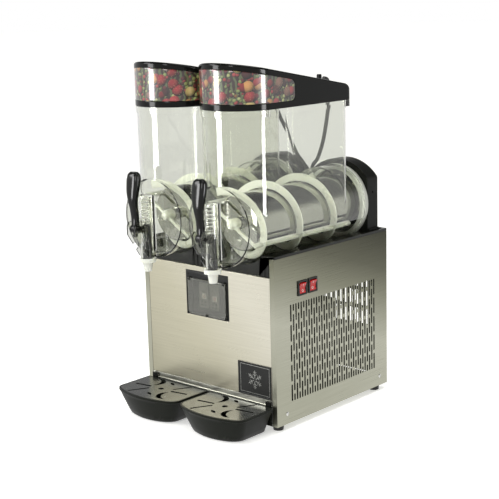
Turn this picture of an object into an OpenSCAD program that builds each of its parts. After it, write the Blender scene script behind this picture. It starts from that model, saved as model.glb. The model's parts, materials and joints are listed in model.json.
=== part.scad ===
// Countertop slush machine with two clear bowls over chilled drums.
// +X is to the right seen from the front, the front faces -Y, +Z is up, sizes in mm.
// Every height is above the counter. Depths run back from the front panel's face,
// and place() shifts them so that the origin is the middle of the footprint.

/* [Cabinet] */
// Outside width of the cabinet
cab_w = 400; // [380:1:460]
// Depth of the cabinet, front panel to rear edge
cab_d = 406; // [400:1:440]
// Top of the side panels above the counter
deck_z = 387; // [384:1:390]
// Height of the rubber feet
foot_h = 14; // [10:1:16]
// Radius of a rubber foot
foot_r = 13; // [9:0.5:15]
// Thickness of the stainless sheet
sheet = 1.2; // [0.8:0.1:1.6]
// Width of the side panels' folded front and rear returns
side_return = 13.5; // [10:0.5:18]
// Bottom of the sill strip under the front panel
sill_bottom = 60; // [50:1:64]
// Height of the sill strip
sill_h = 13; // [8:0.5:16]
// Top of the front panel, where the black fascia starts
panel_top = 345.5; // [338:0.5:350]

/* [Control window] */
// Width of the window in the front panel
window_w = 130.6; // [110:0.2:140]
// Height of the window
window_h = 103.8; // [90:0.2:106]
// Bottom of the window above the counter
window_z = 230.5; // [215:0.5:234]
// Depth of the recess behind the window
recess_d = 22; // [16:1:30]
// Width of one thermostat
stat_w = 28; // [24:0.5:32]
// Height of one thermostat
stat_h = 58; // [48:0.5:66]
// Thickness of the clear flap
flap_t = 1; // [0.6:0.1:1.6]

/* [Badge] */
// Width of the bare badge plate
badge_w = 100; // [60:1:110]
// Height of the badge plate
badge_h = 75; // [40:0.5:80]

/* [Side vents and switches] */
// Number of vent columns
vent_cols = 35; // [20:1:36]
// Spacing of the vent columns
vent_pitch = 8.9; // [8:0.1:9.2]
// Length of a vent slot
slot_len = 38; // [20:0.5:40]
// Width of a vent slot
slot_w = 4.8; // [2.5:0.1:5.4]
// Gap between the slots of a column
slot_gap = 7.1; // [6:0.1:12]
// Width of a switch frame
switch_w = 30; // [26:0.5:34]
// Height of a switch frame
switch_h = 33; // [30:0.5:38]
// Tilt of a rocker each way from level
rocker_tilt = 9; // [6:0.5:11]

/* [Bowls] */
// Gap between the two lids
bowl_gap = 20; // [16:0.5:30]
// Height of the drum and barrel axis
axis_z = 457; // [455:0.5:462]
// Outside radius of a bowl's barrel
barrel_r = 88; // [84:0.5:90]
// Wall of the clear bowl
bowl_wall = 3; // [2.4:0.1:3.6]
// How far the bowl's front face stands ahead of the front panel
bowl_front = 62; // [58:0.5:66]
// Room behind the barrel for its gasket, the motor cover and a ledge
rear_ledge = 66; // [62:0.5:72]
// Inside top of the tank, under its rim
tank_top = 689; // [640:1:720]
// Height of the rim band round the tank's mouth
rim_h = 14; // [8:0.5:18]
// Back wall of the tank
tank_back = 278; // [250:1:290]

/* [Lids] */
// How far the lid stands out past the tank wall
lid_out = 2; // [1.5:0.1:3]
// Height of the lid's top over the front panel's plane, above the rim
lid_rise = 86.7; // [80:0.1:110]
// Fall of the lid's top towards the back, degrees
lid_slope = 10.4; // [6:0.1:11]
// Wall of the lid
lid_wall = 2.5; // [2:0.1:3]
// Height of the plain trim above and below the print
trim_h = 12.5; // [8:0.5:16]
// Back end of the printed panel
print_back = 93; // [80:1:220]

/* [Drum and auger] */
// Depth from the barrel's outside down to the chilled drum
drum_space = 25; // [23:0.5:30]
// Front of the drum behind the front panel's plane
drum_front = 8; // [4:0.5:14]
// Pitch of the auger's flight
flight_pitch = 120; // [100:1:140]
// Clearance of the flight inside the barrel
flight_clear = 1.8; // [1.5:0.1:4]
// Clearance of the flight over the drum
flight_lift = 3; // [2:0.1:5]
// Thickness of the flight at its outer edge
flight_t = 4; // [3:0.1:6]
// Radius of the drive shaft
shaft_r = 8; // [6:0.1:9]

/* [Motor covers] */
// Length of the gasket between the barrel and the motor cover
gasket_l = 12; // [10:0.5:14]
// Depth of a motor cover
cover_d = 38; // [36:0.5:44]
// Clear width between the two motor covers
cover_gap = 28; // [26:0.5:40]
// Radius of the cover's crown
cover_crown = 111; // [105:0.5:120]
// Radius of the cover's shoulders
cover_shoulder = 12; // [8:0.5:20]
// Top of a motor cover above the counter
cover_top = 557; // [550:1:580]

/* [Taps] */
// Tap axis ahead of the front panel's plane
tap_y = 83; // [81:0.5:85]
// Outside radius of the clear tap body
tube_r = 14.7; // [14.2:0.1:15.5]
// Bore of the tap body
bore_r = 10.8; // [10:0.1:11]
// Bottom of the tap body
tube_z = 366; // [364:0.5:367]
// Height of the tap body
tube_h = 146; // [140:0.5:156]
// Length of the piston
piston_h = 78; // [76:0.5:80]
// Radius of the spring's wire
wire_r = 1.1; // [0.8:0.05:1.3]
// Number of coils
coils = 7; // [6:0.5:9]
// Lever pivot ahead of the front panel's plane
pivot_y = 115.5; // [114:0.5:117]
// Height of the lever pivot
pivot_z = 441; // [440:0.5:442]
// Radius of the lever's pin
pin_r = 2.5; // [2:0.1:3]
// Height of the lever's tip above its pivot
lever_h = 126; // [100:1:140]
// Radius of the nozzle's mouth
mouth_r = 6.5; // [5:0.1:7]
// Height of the nozzle below the tap body
nozzle_h = 25; // [18:0.5:30]

/* [Drip trays] */
// Gap between the two trays
tray_split = 10; // [9:0.5:20]
// Gap between a tray and the front panel
tray_gap = 5; // [4.5:0.5:8]
// Reach of a tray at the middle of its front, from the front panel's plane
tray_reach = 129; // [120:1:140]
// How far the middle of the front bulges past the corners
tray_bulge = 21; // [10:0.5:26]
// Height of a tray's rim above the counter
tray_z = 59; // [52:0.5:59]
// Inward lean of the tray's sides over their height
tray_lean = 24; // [16:0.5:28]
// Wall of a tray
tray_wall = 2.6; // [2:0.1:3.2]
// Thickness of the drip grid
grid_t = 3; // [2:0.1:4]
// Radius of the pegs that carry a tray
peg_r = 4; // [3:0.1:5]

/* [Fits] */
// Clearance between parts that move or lift out
gap = 0.3; // [0.25:0.01:0.4]
// Radial clearance of a pin or shaft in its hole
run = 0.05; // [0.03:0.01:0.08]

/* [Hidden] */

steel = [0.72, 0.72, 0.69];
black = [0.07, 0.07, 0.07];
clear = [0.85, 0.88, 0.88, 0.4];

front_y = (tray_reach - cab_d) / 2;          // where the front panel's face lies once centred
half_w = cab_w / 2;
panel_hw = half_w - side_return - 0.5;       // front and rear panels fit between the returns
floor_z = foot_h + sheet;                    // top of the side panels' foot flanges
foot_flange = 2 * foot_r + 8;
foot_x = half_w - foot_r - 7;
foot_y = foot_r + 13;
stud_r = 2.5;
panel_bottom = sill_bottom + sill_h;
deck_plate = 2.8;
deck_top = deck_z + deck_plate + gap;
fascia_y = 4;
bowl_pitch = 2 * (barrel_r + lid_out) + bowl_gap;   // distance between the two bowls' middles
barrel_back = cab_d - rear_ledge;
drum_r = barrel_r - drum_space;
flight_r = barrel_r - bowl_wall - flight_clear;
flight_inner = drum_r + flight_lift;
cover_front = barrel_back + gasket_l;
cover_hw = (bowl_pitch - cover_gap) / 2;
cover_lip = cover_gap / 7;
socket_x = (cover_gap / 2 - cover_lip) / 2;  // the two lamp leads' sockets lie side by side between the covers
tray_hw = (bowl_pitch - tray_split) / 2;
trough_r = barrel_r + 3.3;
inside_x = half_w - sheet - gap;
rear_y = cab_d - sheet - gap;                // the rear panel lies against the returns
vent_y = (cab_d - (vent_cols - 1) * vent_pitch) / 2;
vent_z = 61.6;
vent_rows = 5;
screw_r = 2.4;
switch_z = 310.5;
switch_y = [91, 127];
switch_lip = 2.5;
window_hw = window_w / 2;
stat_x = [-10 - stat_w / 2 - 2.3, -10 + stat_w / 2 + 2.3];
stat_z = window_z + window_h / 2 - 8;
header = 19;                                 // plain band across the top of the window, which carries the flap
flap_y = -2.4;
hem_r = 1.5;
hem_z = window_z + window_h - header;
lug_x = window_hw - 12;
bowl_x = bowl_pitch / 2;
rim_z = tank_top + rim_h;
lid_z = rim_z + gap;
plan_r = 50;                                 // radius of the tank's front corners in plan
back_r = 14;                                 // and of its back corners
tank_in = 0.6;
tank_bow = bowl_front + 10;                  // front bow of the tank, from the plane where its sides end
lid_roof = rim_z + lid_rise;
lid_back = tank_back + 12;
gland_x = 11;
gland_y = lid_back - 10;
cover_z = deck_top + gap;
shoulder_z = cover_top - cover_crown + sqrt(pow(cover_crown - cover_shoulder, 2) - pow(cover_hw - cover_shoulder, 2));
motor_y = cover_front + cover_d / 2;
motor_r = 15.5;
socket_y = motor_y - 1;
pilot_r = 20;
flange_t = 5;
flange_r = barrel_r - 12;
drum_back = cover_front - gap;
bar_angle = -33;
bar_in = flight_inner + 2.1;
bar_out = flight_r - 4.3;
flight_front = -40;
flight_end = barrel_back - 26;
hub_r = 12.5;
hub_y = -22;
arm_y = 18;
piston_z = tube_z + 3;
piston_r = bore_r - gap;
boss_r = 8;
boss_z = pivot_z - 4;
boss_front = pivot_y - 11.5;
arm_r = 4;
arm_lip = pivot_y - arm_y - 5.2 - tap_y;
arm_reach = sqrt(arm_y * arm_y + (pivot_z - boss_z) * (pivot_z - boss_z));
tap_lift = 14;
spring_z = piston_z + piston_h + 0.4;
spring_top = tube_z + tube_h - 4.2;
ear_in = 9.6;
ear_t = 3.5;
port_z = axis_z - barrel_r + bowl_wall + 8;
skirt_h = 5;
tray_r = 16;
tray_floor = 1;
holder_t = 2.6;
holder_y = -(holder_t + gap);
peg_len = 26;
peg_x = 45;
peg_z = 36;
grid_inset = 3.4;
grid_z = tray_z - grid_t;
fan_z = 132;
fan_y = 165;
fan_r = 84;
shroud_x = half_w - 88;

module place() translate([0, front_y, 0]) children();
module at_bowl(side) place() translate([side * bowl_x, 0, 0]) children();
// turns a shape drawn along +Z so that it runs back along +Y
module along_y() rotate([-90, 0, 0]) children();
module along_x() rotate([0, 90, 0]) children();
// a profile drawn as (depth, height), extruded across X and centred
module across(width) translate([-width / 2, 0, 0]) rotate([90, 0, 90]) linear_extrude(width) children();
// a profile drawn as (across, height), extruded back from y
module facing(y, depth) translate([0, y + depth, 0]) rotate([90, 0, 0]) linear_extrude(depth) children();

// ---- shapes shared by several parts ----

// a slot with round ends, centred
module slot(length, width) {
  square([length - width, width], center = true);
  for (s = [-1, 1]) translate([s * (length - width) / 2, 0]) circle(d = width, $fn = 20);
}

// three-centre arch: straight sides, round shoulders and a wide crown, with its shoulders' centres at y = 0
module arch(half, shoulder, crown, leg) {
  reach = half - shoulder;
  drop = sqrt(pow(crown - shoulder, 2) - reach * reach);
  far = 1.1 * crown / drop;
  translate([-half, -leg]) square([2 * half, leg]);
  for (s = [-1, 1]) translate([s * reach, 0]) circle(r = shoulder, $fn = 72);
  polygon([[0, -drop], [reach, 0], [-reach, 0]]);
  intersection() {
    translate([0, -drop]) circle(r = crown, $fn = 180);
    polygon([[0, -drop], [reach * far, drop * (far - 1)], [-reach * far, drop * (far - 1)]]);
  }
}

// plan of the tank and the lid: bowed front, straight sides, rounded back corners
module bowl_plan(half, front, bow, back, inset = 0) {
  crown = (bow * bow + pow(half - plan_r, 2) - plan_r * plan_r) / (2 * (bow - plan_r));
  leg = back + front - bow;
  translate([0, bow - front]) mirror([0, 1]) {
    arch(half - inset, plan_r - inset, crown - inset, leg - back_r);
    translate([-(half - back_r), inset - leg]) square([2 * (half - back_r), back_r - inset + 1]);
    for (s = [-1, 1]) translate([s * (half - back_r), back_r - leg]) circle(r = back_r - inset, $fn = 48);
  }
}
// the tank's walls stand just inside the barrel's sides and front
module tank_plan(inset = 0) bowl_plan(barrel_r - tank_in, bowl_front - tank_in, tank_bow, tank_back, inset);
module lid_plan(inset = 0) bowl_plan(barrel_r + lid_out, bowl_front + 2 * lid_out, tank_bow + 3 * lid_out, lid_back, inset);

// closes a list of equal rings of points into a solid; each ring turns anticlockwise about the way they advance
module skin(rings) {
  m = len(rings[0]);
  n = len(rings);
  polyhedron(points = [for (ring = rings) each ring],
    faces = concat([[for (j = [0:m - 1]) j]],
      [for (i = [0:n - 2], j = [0:m - 1]) [i * m + j, (i + 1) * m + (j + 1) % m, i * m + (j + 1) % m]],
      [for (i = [0:n - 2], j = [0:m - 1]) [i * m + j, (i + 1) * m + j, (i + 1) * m + (j + 1) % m]],
      [[for (j = [m - 1:-1:0]) (n - 1) * m + j]]), convexity = 10);
}

// ---- cabinet ----

module base_pan() place() {
  pan = inside_x;
  difference() {
    union() {
      translate([-pan, sheet + gap, floor_z]) cube([2 * pan, cab_d - 2 * (sheet + gap), sheet]);
      for (s = [-1, 1]) translate([s * (pan - sheet / 2) - sheet / 2, sheet + gap, floor_z]) cube([sheet, rear_y - 2 * (sheet + gap), 32]);
      translate([-panel_hw, sheet + gap, floor_z]) cube([2 * panel_hw, sheet, sill_bottom + 8 - floor_z]);
      translate([-panel_hw, cab_d - 2 * sheet - gap, floor_z]) cube([2 * panel_hw, sheet, 14]);
    }
    foot_places() cylinder(r = stud_r + 0.4, h = 60, $fn = 24);
    side_screws() cylinder(r = screw_r + 0.2, h = 20, center = true, $fn = 24);
  }
}

module foot_places() for (x = [-foot_x, foot_x], y = [foot_y, cab_d - foot_y]) translate([x, y, 0]) children();

module feet() place() foot_places() {
  cylinder(r1 = foot_r - 1.5, r2 = foot_r, h = foot_h, $fn = 48);
  cylinder(r = stud_r, h = floor_z + sheet + 5, $fn = 24);
}

// two places low on each side panel, into the base pan's flanges
module side_screws() for (s = [-1, 1], y = [34, cab_d - 30], z = [floor_z + 22])
  translate([s * half_w, y, z]) rotate([0, s * 90, 0]) children();

module vent_field() {
  pitch = slot_len + slot_gap;
  stub = pitch / 2 - slot_gap;
  for (c = [0:vent_cols - 1]) translate([vent_y + c * vent_pitch, vent_z]) rotate(90)
    if (c % 2 == 0) for (r = [0:vent_rows - 1]) translate([r * pitch + slot_len / 2, 0]) slot(slot_len, slot_w);
    else {
      for (r = [0:vent_rows - 2]) translate([(r + 0.5) * pitch + slot_len / 2, 0]) slot(slot_len, slot_w);
      for (z = [stub / 2, vent_rows * pitch - slot_gap - stub / 2]) translate([z, 0]) slot(stub, slot_w);
    }
}

module side_panel(switches) difference() {
  union() {
    translate([half_w - sheet, 0, 0]) rotate([90, 0, 90]) linear_extrude(sheet) difference() {
      translate([0, foot_h]) square([cab_d, deck_z - foot_h]);
      vent_field();
      if (switches) for (y = switch_y) translate([y, switch_z]) square([switch_w - 4, switch_h - 4], center = true);
    }
    for (y = [0, cab_d - sheet]) translate([half_w - side_return, y, foot_h]) cube([side_return, sheet, deck_z - foot_h]);
    translate([half_w - foot_flange, 0, foot_h]) cube([foot_flange, cab_d, sheet]);
    translate([half_w - side_return, 0, deck_z - sheet]) cube([side_return, cab_d, sheet]);
  }
  foot_places() cylinder(r = stud_r + 0.4, h = 60, $fn = 24);
  side_screws() cylinder(r = screw_r + 0.2, h = 10, center = true, $fn = 24);
}
module right_side_panel() place() side_panel(true);
module left_side_panel() place() mirror([1, 0, 0]) side_panel(false);

module front_panel() place() difference() {
  union() {
    facing(0, sheet) translate([-panel_hw, panel_bottom + gap]) square([2 * panel_hw, panel_top - panel_bottom - gap]);
    for (z = [panel_bottom + gap, panel_top - sheet]) translate([-panel_hw, 0, z]) cube([2 * panel_hw, 11, sheet]);
  }
  translate([-window_hw, -1, window_z]) cube([window_w, 4, window_h]);
}

module front_sill() place() {
  translate([-panel_hw, 0, sill_bottom]) cube([2 * panel_hw, sheet, sill_h - gap]);
  translate([-panel_hw, -2, sill_bottom]) cube([2 * panel_hw, 2 + sheet, sheet]);
}

module rear_panel() place() difference() {
  y = rear_y - sheet;
  union() {
    facing(y, sheet) difference() {
      translate([gap - inside_x, floor_z + 20]) square([2 * (inside_x - gap), deck_z - sheet - floor_z - 40]);
      for (c = [-9:9], r = [0:2]) translate([c * 16, 150 + r * (slot_len + slot_gap) + slot_len / 2]) rotate(90) slot(slot_len, 2 * slot_w);
      translate([-140, 70]) square([27.6, 20.6], center = true);
    }
    for (z = [floor_z + 20, deck_z - 20 - 2 * sheet]) translate([-panel_hw, y - 8, z]) cube([2 * panel_hw, 8, sheet]);
  }
  for (x = [-160, 0, 160], z = [floor_z + 32, deck_z - 34]) translate([x, y, z]) along_y() cylinder(r = screw_r + 0.2, h = 10, center = true, $fn = 24);
}

module tray_holder() place() difference() {
  union() {
    translate([-(panel_hw - 2), holder_y, floor_z + 2]) cube([2 * (panel_hw - 2), holder_t, sill_bottom - floor_z - 6]);
    for (x = [-150, 0, 150]) translate([x - 12, holder_y + holder_t - 0.5, floor_z + 6]) cube([24, sheet + gap + 0.3 - holder_y - holder_t, sill_bottom - floor_z - 16]);
    // stops that stand up before the sill's ends
    for (s = [-1, 1]) translate([s * (panel_hw - 9) - 7, -tray_gap + gap, floor_z + 2]) cube([14, tray_gap - gap - 2.3, sill_bottom + sill_h - floor_z - 5]);
    for (s = [-1, 1], d = [-1, 1]) translate([s * bowl_x + d * peg_x, holder_y + 1, peg_z]) rotate([90, 0, 0]) {
      cylinder(r = peg_r, h = peg_len, $fn = 40);
      translate([0, 0, peg_len]) cylinder(r1 = peg_r, r2 = peg_r - 1.5, h = 1.5, $fn = 40);
      cylinder(r = peg_r + 3, h = 2.6, $fn = 40);
    }
  }
  for (x = [-150, 0, 150]) translate([x - 6, holder_y - 1, floor_z + 10]) cube([12, 3, sill_bottom - floor_z - 24]);
}

// deck moulding: plate with a raised rim, a ribbed fascia and a trough under each barrel
module top_deck() place() difference() {
  union() {
    translate([-half_w, fascia_y - 2, deck_z + gap]) cube([cab_w, cab_d - fascia_y + 2, deck_plate]);
    difference() {
      translate([-half_w, fascia_y - 2, deck_z + gap]) cube([cab_w, cab_d - fascia_y + 2, deck_plate + 3]);
      translate([-half_w + 5, fascia_y + 4, deck_z]) cube([cab_w - 10, cab_d - fascia_y - 9, 20]);
    }
    translate([-panel_hw, fascia_y, panel_top + gap]) cube([2 * panel_hw, 2.5, deck_z + gap - panel_top]);
    for (s = [-1, 1], i = [0:2]) translate([s * bowl_x + 54 + 12 * i, fascia_y - 2, panel_top + gap]) cube([5, 3, deck_z + gap - panel_top]);
    intersection() {
      translate([-half_w + side_return + 1, fascia_y, panel_top]) cube([cab_w - 2 * side_return - 2, cover_front - fascia_y + 3, deck_z + 1 - panel_top]);
      for (s = [-1, 1]) translate([s * bowl_x, fascia_y, axis_z]) along_y() cylinder(r = trough_r + 2.5, h = cover_front - fascia_y + 3, $fn = 180);
    }
  }
  for (s = [-1, 1]) {
    translate([s * bowl_x, fascia_y - 4, axis_z]) along_y() cylinder(r = trough_r, h = cover_front - fascia_y + 4, $fn = 180);
    translate([s * bowl_x, motor_y, deck_z - 40]) cylinder(r = motor_r + 2, h = 80, $fn = 60);
  }
  for (x = [-socket_x, socket_x]) translate([x, socket_y, deck_z - 20]) cylinder(r = 2.5, h = 60, $fn = 24);
}

module control_recess() place() {
  hw = window_hw - gap;
  z0 = window_z + gap;
  h = window_h - 2 * gap;
  difference() {
    union() {
      facing(sheet, 1.8) translate([-hw - 8, z0 - 8]) square([2 * hw + 16, h + 16]);
      facing(0.4, recess_d) translate([-hw, z0]) square([2 * hw, h]);
      for (x = [-lug_x, lug_x]) translate([x, 0, hem_z]) {
        translate([-3, flap_y, 0]) along_x() cylinder(r = 3.4, h = 6, $fn = 36);
        translate([-3, flap_y, -2.4]) cube([6, 4, 2.8]);
      }
    }
    facing(-1, recess_d - 1.2) translate([-hw + 2, z0 + 2]) square([2 * hw - 4, h - header - 1]);
    facing(-1, 2.4) translate([-hw + 6, z0 + h - 12]) square([hw * 0.6, 5]);
    for (x = stat_x) translate([x - (stat_w - 4) / 2, -1, stat_z - (stat_h - 4) / 2]) cube([stat_w - 4, 60, stat_h - 4]);
    for (x = [-lug_x, lug_x]) translate([x - 4, flap_y, hem_z]) along_x() cylinder(r = hem_r + run, h = 8, $fn = 36);
    facing(-gap, sheet + gap) translate([-hw - 10, z0 + h]) square([2 * hw + 20, 6]);
  }
}

module thermostat(i) place() translate([stat_x[i], recess_d - 2.2 - gap, stat_z]) difference() {
  union() {
    facing(-3.2, 3.2) square([stat_w, stat_h], center = true);
    facing(-0.2, 30) square([stat_w - 5, stat_h - 5], center = true);
    for (x = [-5, 5]) translate([x, -3, 14 - stat_h / 2]) along_y() mirror([0, 0, 1]) cylinder(r = 2.6, h = 1, $fn = 32);
  }
  facing(-4, 1.6) translate([0, 3]) square([stat_w - 9, 14], center = true);
}
module left_thermostat() thermostat(0);
module right_thermostat() thermostat(1);

module control_flap() place() {
  hw = window_hw - 7.5;
  drop = window_h - header - 3;
  translate([-hw, flap_y, hem_z]) along_x() cylinder(r = hem_r, h = 2 * hw, $fn = 36);
  facing(flap_y - flap_t / 2, flap_t) difference() {
    union() {
      translate([-hw, hem_z - drop + 10]) square([2 * hw, drop - 10]);
      translate([-hw + 10, hem_z - drop]) square([2 * hw - 20, drop]);
      for (s = [-1, 1]) translate([s * (hw - 10), hem_z - drop + 10]) circle(r = 10, $fn = 48);
    }
    translate([0, hem_z - drop]) circle(r = 5, $fn = 36);
    for (x = [-lug_x, lug_x]) translate([x, hem_z]) square([7, 9.4], center = true);
  }
}

module badge_plate() place() {
  x0 = panel_hw - badge_w + 5.5;
  z0 = panel_bottom + gap + 0.3;
  translate([x0 - 2, -1.4, z0]) cube([badge_w - 4, 1.4 - 0.05, badge_h]);
  difference() {
    translate([x0 - 2, -2.2, z0]) cube([badge_w - 4, 1.2, badge_h]);
    translate([x0 + 0.5, -3, z0 + 2.5]) cube([badge_w - 9, 3, badge_h - 5]);
  }
}

module screw() {
  difference() {
    intersection() {
      cylinder(r = 4.6, h = 2.4, $fn = 36);
      translate([0, 0, -4.2]) sphere(r = 6.6, $fn = 48);
    }
    for (a = [0, 90]) rotate(a) translate([-2.6, -0.5, 1.2]) cube([5.2, 1, 3]);
  }
  translate([0, 0, -8]) cylinder(r = screw_r, h = 8.5, $fn = 24);
}

module panel_screws() place() {
  side_screws() translate([0, 0, 0.05]) screw();
  for (x = [-160, 0, 160], z = [floor_z + 32, deck_z - 34]) translate([x, rear_y + 0.05, z]) along_y() screw();
}

// ---- switches and inlet ----

module switch_frame(y) place() translate([half_w, y, switch_z]) difference() {
  union() {
    translate([gap / 3, -switch_w / 2, -switch_h / 2]) cube([switch_lip, switch_w, switch_h]);
    translate([-18, -(switch_w - 5) / 2, -(switch_h - 5) / 2]) cube([18 + switch_lip, switch_w - 5, switch_h - 5]);
    for (d = [-6, 6]) translate([-25, d - 2.4, -0.4]) cube([8, 4.8, 0.8]);
  }
  translate([-12, -(switch_w - 9) / 2, -(switch_h - 7) / 2]) cube([20, switch_w - 9, switch_h - 7]);
  rotate([90, 0, 0]) translate([-2, 0, 0]) cylinder(r = 1.6 + run, h = switch_w - 7.4, center = true, $fn = 30);
}
module front_switch_frame() switch_frame(switch_y[0]);
module rear_switch_frame() switch_frame(switch_y[1]);

module rocker(y) place() translate([half_w - 2, y, switch_z]) {
  w = switch_w - 9 - 2 * gap;
  h = switch_h / 2 - 5;
  rotate([0, rocker_tilt, 0]) {
    rotate([90, 0, 0]) linear_extrude(w, center = true) difference() {
      polygon([[-6, -h + 1.5], [-6, h - 1.5], [6, h], [3.6, 0], [6, -h]]);
      translate([26, 0]) circle(r = 22.6, $fn = 120);
    }
    rotate([90, 0, 0]) cylinder(r = 1.6, h = switch_w - 7.8, center = true, $fn = 30);
  }
}
module front_rocker() rocker(switch_y[0]);
module rear_rocker() rocker(switch_y[1]);

module mains_inlet() place() translate([-140, rear_y, 70]) difference() {
  union() {
    facing(0.05, 2.2) square([31, 24], center = true);
    facing(-17, 17.5) square([27, 20], center = true);
  }
  facing(-14, 20) difference() {
    polygon([[-12, -8.5], [12, -8.5], [12, 4], [8, 8.5], [-8, 8.5], [-12, 4]]);
    for (x = [-7, 7]) translate([x, -2]) square([2.2, 5], center = true);
    translate([0, 3]) square([2.2, 5], center = true);
  }
}

// ---- refrigeration ----

module compressor() place() translate([115 - half_w, cab_d - 141, floor_z + sheet + gap]) {
  translate([0, 0, 9]) {
    cylinder(r = 66, h = 58, $fn = 120);
    translate([0, 0, 58]) cylinder(r = 69, h = 5, $fn = 120);
    translate([0, 0, 63]) cylinder(r = 66, h = 42, $fn = 120);
    translate([0, 0, 105]) intersection() {
      cylinder(r = 66, h = 30, $fn = 120);
      translate([0, 0, -70]) sphere(r = 96.2, $fn = 120);
    }
    translate([0, 60, 30]) cube([44, 30, 46], center = true);
    for (a = [20, 160]) rotate(a) translate([62, 0, 80]) along_x() cylinder(r = 4, h = 16, $fn = 32);
  }
  for (x = [-62, 62], y = [-52, 52]) translate([x, y, 0]) {
    cylinder(r = 9, h = 8, $fn = 36);
    translate([0, 0, 8]) cylinder(r = 5, h = 5, $fn = 24);
  }
  difference() {
    translate([-74, -64, 8]) cube([148, 128, 3]);
    for (x = [-62, 62]) translate([x, 0, 7]) cylinder(r = 9, h = 5, $fn = 36);
  }
}

module condenser() place() translate([shroud_x + 18, fan_y - 95, 0]) {
  base = floor_z + sheet + gap;
  height = 2 * (fan_z - base);
  for (y = [0, 188]) translate([0, y, base]) cube([32, 2, height]);
  for (i = [1:24]) translate([2, i * 7.52, base + 3]) cube([28, 1, height - 6]);
  for (x = [9, 23], i = [0:4]) translate([x, -5, base + 18 + i * (height - 36) / 4]) along_y() cylinder(r = 4, h = 200, $fn = 24);
}

module fan_shroud() place() difference() {
  base = floor_z + sheet + gap;
  height = 2 * (fan_z - base);
  union() {
    translate([shroud_x, fan_y - 95, base]) cube([sheet, 190, height]);
    for (y = [fan_y - 95, fan_y + 95 - sheet]) translate([shroud_x, y, base]) cube([18 - gap, sheet, height]);
    translate([shroud_x - 10, fan_y, fan_z]) along_x() cylinder(r = fan_r + 5, h = 10 + sheet, $fn = 120);
    for (a = [45:90:315]) translate([0, fan_y, fan_z]) rotate([a, 0, 0]) translate([shroud_x - 44, -6, 30]) cube([sheet, 12, fan_r - 26]);
    for (a = [45:90:315]) translate([0, fan_y, fan_z]) rotate([a, 0, 0]) translate([shroud_x - 44, -6, fan_r + 2.8]) cube([44, 12, sheet]);
  }
  translate([shroud_x - 20, fan_y, fan_z]) along_x() cylinder(r = fan_r + 2, h = 40, $fn = 120);
  translate([shroud_x - 60, fan_y, fan_z]) along_x() cylinder(r = 31, h = 30, $fn = 60);
}

module fan_motor() place() translate([shroud_x - 44, fan_y, fan_z]) along_x() {
  translate([0, 0, -26]) cylinder(r = 28, h = 44, $fn = 72);
  difference() {
    translate([0, 0, -2]) cylinder(r = 36, h = 1.8, $fn = 72);
    translate([0, 0, -3]) cylinder(r = 20, h = 4, $fn = 48);
  }
  cylinder(r = 4, h = 38, $fn = 30);
}

module condenser_fan() place() translate([shroud_x - 14, fan_y, fan_z]) along_x() difference() {
  union() {
    cylinder(r = 20, h = 10, $fn = 60);
    for (a = [0:72:288]) rotate(a) translate([18, -16, 5]) rotate([28, 0, 0]) translate([0, 0, -0.75]) intersection() {
      cube([fan_r - 22, 34, 1.5]);
      translate([-18, 16, -1]) cylinder(r = fan_r - 2, h = 5, $fn = 120);
    }
  }
  translate([0, 0, -1]) cylinder(r = 4 + run, h = 20, $fn = 30);
}

// ---- motor covers, drums and bowls ----

module cover_profile(inset) {
  rise = shoulder_z - cover_z;
  translate([0, shoulder_z]) arch(cover_hw - inset, cover_shoulder - inset, cover_crown - inset, rise);
}

module gear_motor(side) at_bowl(side) {
  translate([0, motor_y, deck_z - 85]) cylinder(r = motor_r, h = 120, $fn = 60);
  difference() {
    union() {
      translate([-40, cover_front + 6, deck_z + 28]) cube([80, cover_d - 9, axis_z + 38 - deck_z - 28]);
      for (s = [-1, 1]) translate([s * 34 - 6, cover_front + 6, deck_top + gap]) cube([12, cover_d - 9, 30]);
      translate([0, cover_front, axis_z]) along_y() cylinder(r = pilot_r, h = 8, $fn = 72);
    }
    translate([0, cover_front - 1, axis_z]) along_y() cylinder(r = shaft_r + run, h = cover_d - 4, $fn = 60);
  }
}

module motor_cover(side) at_bowl(side) difference() {
  seam = axis_z + 23;
  union() {
    facing(cover_front, cover_d) cover_profile(0);
    facing(cover_front, cover_d) translate([-cover_hw - cover_lip, cover_z]) square([2 * (cover_hw + cover_lip), 7]);
    facing(cover_front - 1.4, 3) difference() {
      cover_profile(0);
      translate([0, axis_z]) circle(r = barrel_r + 3, $fn = 180);
    }
  }
  facing(cover_front + 2.8, cover_d - 5.6) {
    intersection() {
      cover_profile(2.8);
      translate([-cover_hw, cover_z + 2]) square([2 * cover_hw, 300]);
    }
    translate([2.8 - cover_hw - cover_lip, cover_z - 1]) square([2 * (cover_hw + cover_lip - 2.8), 5.5]);
  }
  translate([0, cover_front - 2, axis_z]) along_y() cylinder(r = pilot_r + gap, h = 10, $fn = 72);
  for (i = [-4:4]) translate([i * 14, cover_front + cover_d - 6, seam + 10]) facing(0, 10) rotate(90) slot(slot_len, 5);
  for (s = [-1, 1]) translate([s * cover_hw, motor_y, seam + 2]) along_x() cylinder(r = 2.2, h = 8, center = true, $fn = 24);
  // seam between the two halves
  for (s = [-1, 1]) translate([s * cover_hw - 0.7, cover_front + 3.5, seam - 0.5]) cube([1.4, cover_d, 1]);
}

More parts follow.
